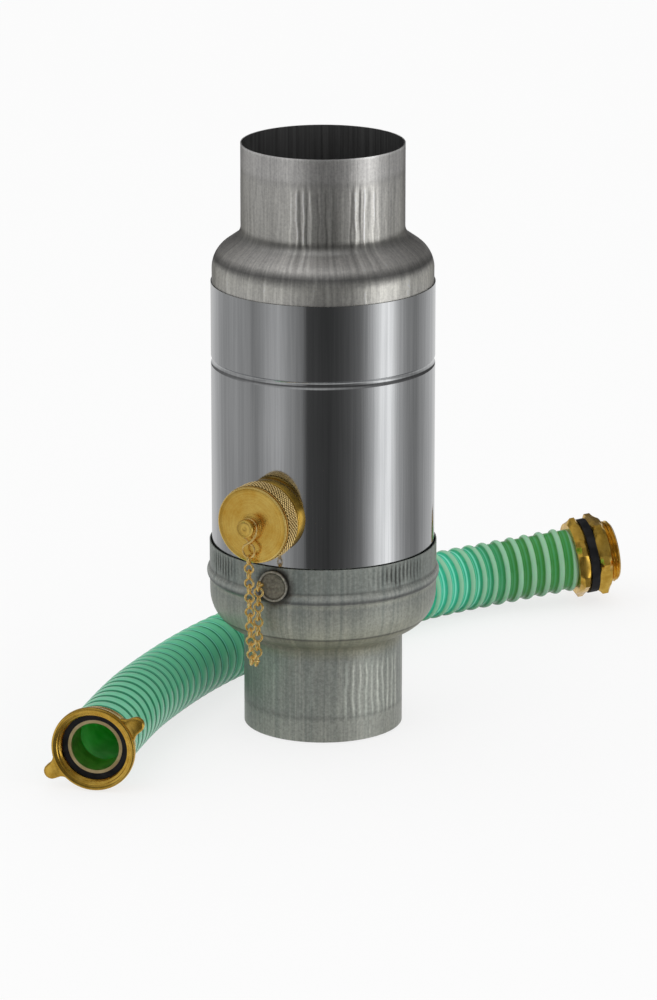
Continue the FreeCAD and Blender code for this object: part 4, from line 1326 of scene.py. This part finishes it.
class DIVERTER_OT_sheet(bpy.types.Operator):
    """Build the zinc funnels and the housing"""
    bl_idname = "diverter.sheet"
    bl_label = "Build sheet metal"

    def execute(self, context):
        settings = context.scene.diverter_sheet
        spun = zinc_material("spun_zinc", (0.66, 0.65, 0.64), (0.90, 0.885, 0.86), 0.34, 0.22,
                             metallic=0.92, edge=0.1, speckle=0.12, relief=3.4,
                             grain_scale=(620.0, 620.0, 30.0), painted_light_bands=SPUN_PAINTED_LIGHT)
        # Dark zinc that paints the shade on the upper funnel's inner faces.
        shade = zinc_material("painted_shade_zinc", grey(0.05), grey(0.11), 0.5, 0.3, metallic=0.5)
        dull = zinc_material("dull_zinc", (0.20, 0.215, 0.205), (0.31, 0.315, 0.295), 0.42, 0.35,
                             metallic=0.42, speckle=0.19, relief=2.6, disc_shadow=True, painted_light_bands=DULL_PAINTED_LIGHT)
        satin = zinc_material("satin_zinc", (0.50, 0.51, 0.52), (0.62, 0.63, 0.64), 0.10, 0.04)
        build_upper_funnel(settings, spun, shade)
        build_lower_funnel(settings, dull)
        build_housing(settings, satin)
        paint_nodes(spun, "catch_ring")
        return {"FINISHED"}


class DIVERTER_OT_brass(bpy.types.Operator):
    """Build the brass outlet, the cap and the hose fittings"""
    bl_idname = "diverter.brass"
    bl_label = "Build brass"

    def execute(self, context):
        settings = context.scene.diverter_brass
        turned = turned_brass_material("cap_brass", (0.80, 0.44, 0.06), (1.0, 0.69, 0.17), 0.24)
        cast = brass_material("cast_brass", (0.74, 0.43, 0.055), (1.0, 0.64, 0.12), 0.20,
                              (150.0, 150.0, 150.0))
        pale = brass_material("pale_brass", (0.62, 0.46, 0.22), (0.85, 0.68, 0.38), 0.30)
        build_cap(settings, turned)
        build_nipple(cast)
        build_union_nut(cast)
        build_tank_fittings(cast)
        paint_nodes(pale, "union_tail")
        paint_nodes(rubber_material("black_rubber"), "cap_gasket", "union_seal", "tank_seal")
        return {"FINISHED"}


class DIVERTER_OT_chain(bpy.types.Operator):
    """Build the hook, the chain and the soldered disc"""
    bl_idname = "diverter.chain"
    bl_label = "Build chain"

    def execute(self, context):
        settings = context.scene.diverter_chain
        wire = brass_material("brass_wire", (0.88, 0.54, 0.13), (1.0, 0.76, 0.32), settings.polish,
                              (500.0, 500.0, 500.0), 0.82)
        build_hook(wire)
        build_chain(wire)
        build_anchor(solder_material("solder"), wire)
        return {"FINISHED"}


class DIVERTER_OT_hose(bpy.types.Operator):
    """Build the spiral hose"""
    bl_idname = "diverter.hose"
    bl_label = "Build hose"

    def execute(self, context):
        settings = context.scene.diverter_hose
        obj, path = build_hose(settings, hose_material("green_pvc"), bore_material("green_bore"))
        return {"FINISHED"}


def only_reflected(obj):
    """Shows an object to reflections and to nothing else."""
    for ray in ("camera", "diffuse", "transmission", "volume_scatter", "shadow"):
        setattr(obj, "visible_" + ray, False)


# Grey levels of the room by bearing in degrees, 0 in front and 90 on the right
LEVEL_TONES = [
    (-180, 0.62), (-150, 0.62), (-127, 0.42), (-120, 0.36), (-103, 0.40), (-78, 0.32), (-73, 0.26),
    (-62, 0.42), (-45, 0.52), (-30, 0.30), (-21, 0.24), (-17, 0.07), (4, 0.05), (18, 0.07), (30, 0.12),
    (40, 0.20), (50, 0.50), (62, 1.15), (72, 1.25), (82, 0.60), (95, 0.32), (111, 0.25), (132, 0.48),
    (160, 0.70)]
RISING_TONES = [(-180, 0.16), (-110, 0.17), (-50, 0.13), (-15, 0.07), (40, 0.06), (70, 0.20),
                (95, 0.08), (160, 0.07)]
HIGH_SHARES = [(-150, 0.8), (-100, 0.95), (-30, 1.0), (10, 0.85), (45, 0.55), (120, 0.45), (170, 0.75)]


def studio_material():
    """Tones of the room by direction, seen only in the metal."""
    material, tree, shader = new_material("studio_tones")
    tree.nodes.remove(shader)
    place = parts_of(tree, object_place(tree))
    back = math_node(tree, "MULTIPLY", place["Y"], -1.0)
    angle = math_node(tree, "ARCTAN2", place["X"], back)
    bearing = math_node(tree, "MULTIPLY_ADD", angle, 1 / TURN, 0.5)
    height = math_node(tree, "ADD", math_node(tree, "DIVIDE", place["Z"], 2 * ROOM_RADIUS), 0.5)

    def round_room(tones):
        return ramp(tree, bearing, [(degrees / 360.0 + 0.5, level) for degrees, level in tones])

    rise = ramp(tree, height, [(0.52, 0.0), (0.57, 1.0)])
    around = mix_colour(tree, rise, round_room(LEVEL_TONES), round_room(RISING_TONES))
    above = ramp(tree, height, [(0.84, 0.30), (0.92, 0.44), (0.97, 0.40), (1.0, 0.33)])
    above = multiplied(tree, above, round_room(HIGH_SHARES))
    around = mix_colour(tree, ramp(tree, height, [(0.74, 0.0), (0.84, 1.0)]), around, above)
    ground = ramp(tree, height, [(0.12, 1.0), (0.24, 0.0)])
    emission = tree.nodes.new("ShaderNodeEmission")
    tree.links.new(mix_colour(tree, ground, around, grey(0.45)), emission.inputs["Color"])
    tree.links.new(emission.outputs["Emission"], tree.nodes["Material Output"].inputs["Surface"])
    return material


def floor_material(shadow):
    """White floor; the camera sees only the given share of its shadows."""
    material, tree, shader = new_material("floor_white")
    dust = stretched_noise(tree, (3.0, 3.0, 3.0))
    tree.links.new(ramp(tree, dust, [(0.0, 0.89), (1.0, 0.91)]), shader.inputs["Base Color"])
    set_shader(shader, roughness=0.9, specular_ior_level=0.0)
    white = tree.nodes.new("ShaderNodeEmission")
    white.inputs["Strength"].default_value = 1.0
    seen = tree.nodes.new("ShaderNodeLightPath").outputs["Is Camera Ray"]
    mix = tree.nodes.new("ShaderNodeMixShader")
    tree.links.new(math_node(tree, "MULTIPLY", seen, 1.0 - shadow), mix.inputs["Fac"])
    tree.links.new(shader.outputs["BSDF"], mix.inputs[1])
    tree.links.new(white.outputs["Emission"], mix.inputs[2])
    tree.links.new(mix.outputs["Shader"], tree.nodes["Material Output"].inputs["Surface"])
    return material


def daylight_world(strength):
    """Even light of the given strength, behind a background that is plain white."""
    world = bpy.data.worlds.new("daylight")
    world.use_nodes = True
    tree = world.node_tree
    path = tree.nodes.new("ShaderNodeLightPath").outputs
    plain = math_node(tree, "MAXIMUM", path["Is Camera Ray"], path["Is Glossy Ray"])
    plain = math_node(tree, "MAXIMUM", plain, path["Is Transmission Ray"])
    background = tree.nodes["Background"]
    background.inputs["Color"].default_value = (1.0, 1.0, 1.0, 1.0)
    tree.links.new(math_node(tree, "MULTIPLY_ADD", plain, 1.0 - strength, strength),
                   background.inputs["Strength"])
    return world


def add_lamp(name, place, size, power):
    """Square soft lamp that looks at the object; metal doesn't show it."""
    lamp = bpy.data.lights.new(name, "AREA")
    lamp.energy = power
    lamp.size = size
    obj = bpy.data.objects.new(name, lamp)
    obj.visible_glossy = False
    obj.location = place
    obj.rotation_euler = (Vector((0, 0, 0.15)) - Vector(place)).to_track_quat("-Z", "Y").to_euler()
    bpy.context.scene.collection.objects.link(obj)


class DIVERTER_OT_stage(bpy.types.Operator):
    """Set up the floor, the lamps, the room's tones and the camera"""
    bl_idname = "diverter.stage"
    bl_label = "Build stage"

    def execute(self, context):
        settings = context.scene.diverter_stage
        scene = context.scene
        scene.view_settings.view_transform = "Standard"
        scene.world = daylight_world(settings.daylight)
        add_lamp("key_lamp", (-1.6, -1.8, 2.6), 1.6, settings.key_power)
        add_lamp("side_lamp", (2.4, -0.8, 1.8), 1.2, settings.key_power * 0.5)

        square = [(x, y, FLOOR_HEIGHT) for x, y in ((-9, -9), (9, -9), (9, 9), (-9, 9))]
        floor = mesh_object("floor", square, [(0, 1, 2, 3)], floor_material(settings.shadow))
        floor.visible_glossy = False

        outline = [(0.0, -8000.0), (4000.0, -6928.0), (6928.0, -4000.0), (8000.0, 0.0),
                   (6928.0, 4000.0), (4000.0, 6928.0), (0.0, 8000.0)]
        points, _ = lathe_points(outline, 64)
        room = mesh_object("studio_room", points, grid_faces(len(outline), 64, False, True),
                           studio_material())
        only_reflected(room)

        camera = bpy.data.cameras.new("camera")
        camera.sensor_width = 36.0
        camera.lens = CAMERA_LENS
        camera.clip_end = 50.0
        eye = bpy.data.objects.new("camera", camera)
        eye.location = CAMERA_PLACE
        eye.rotation_euler = (math.radians(90.0) - CAMERA_PITCH, 0.0, 0.0)
        scene.collection.objects.link(eye)
        scene.camera = eye
        return {"FINISHED"}


class DIVERTER_PT_panel(bpy.types.Panel):
    """Sidebar panel of the diverter"""
    bl_idname = "DIVERTER_PT_panel"
    bl_label = "Rainwater Diverter"
    bl_space_type = "VIEW_3D"
    bl_region_type = "UI"
    bl_category = "Diverter"

    def draw(self, context):
        for group, operator in GROUPS:
            box = self.layout.box()
            settings = getattr(context.scene, group)
            for key in settings.__annotations__:
                box.prop(settings, key)
            box.operator(operator)


GROUPS = [
    ("diverter_sheet", "diverter.sheet"),
    ("diverter_brass", "diverter.brass"),
    ("diverter_chain", "diverter.chain"),
    ("diverter_hose", "diverter.hose"),
    ("diverter_stage", "diverter.stage"),
]

SETTINGS = {
    "diverter_sheet": DiverterSheetSettings,
    "diverter_brass": DiverterBrassSettings,
    "diverter_chain": DiverterChainSettings,
    "diverter_hose": DiverterHoseSettings,
    "diverter_stage": DiverterStageSettings,
}

CLASSES = (
    *SETTINGS.values(),
    DIVERTER_OT_sheet,
    DIVERTER_OT_brass,
    DIVERTER_OT_chain,
    DIVERTER_OT_hose,
    DIVERTER_OT_stage,
    DIVERTER_PT_panel,
)


def register():
    for cls in CLASSES:
        bpy.utils.register_class(cls)
    for name, group in SETTINGS.items():
        setattr(bpy.types.Scene, name, bpy.props.PointerProperty(type=group))


def unregister():
    for name in SETTINGS:
        delattr(bpy.types.Scene, name)
    for cls in reversed(CLASSES):
        bpy.utils.unregister_class(cls)


def main():
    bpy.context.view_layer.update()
    register()
    bpy.ops.diverter.sheet()
    bpy.ops.diverter.brass()
    bpy.ops.diverter.chain()
    bpy.ops.diverter.hose()
    bpy.ops.diverter.stage()


if __name__ == "__main__":
    main()
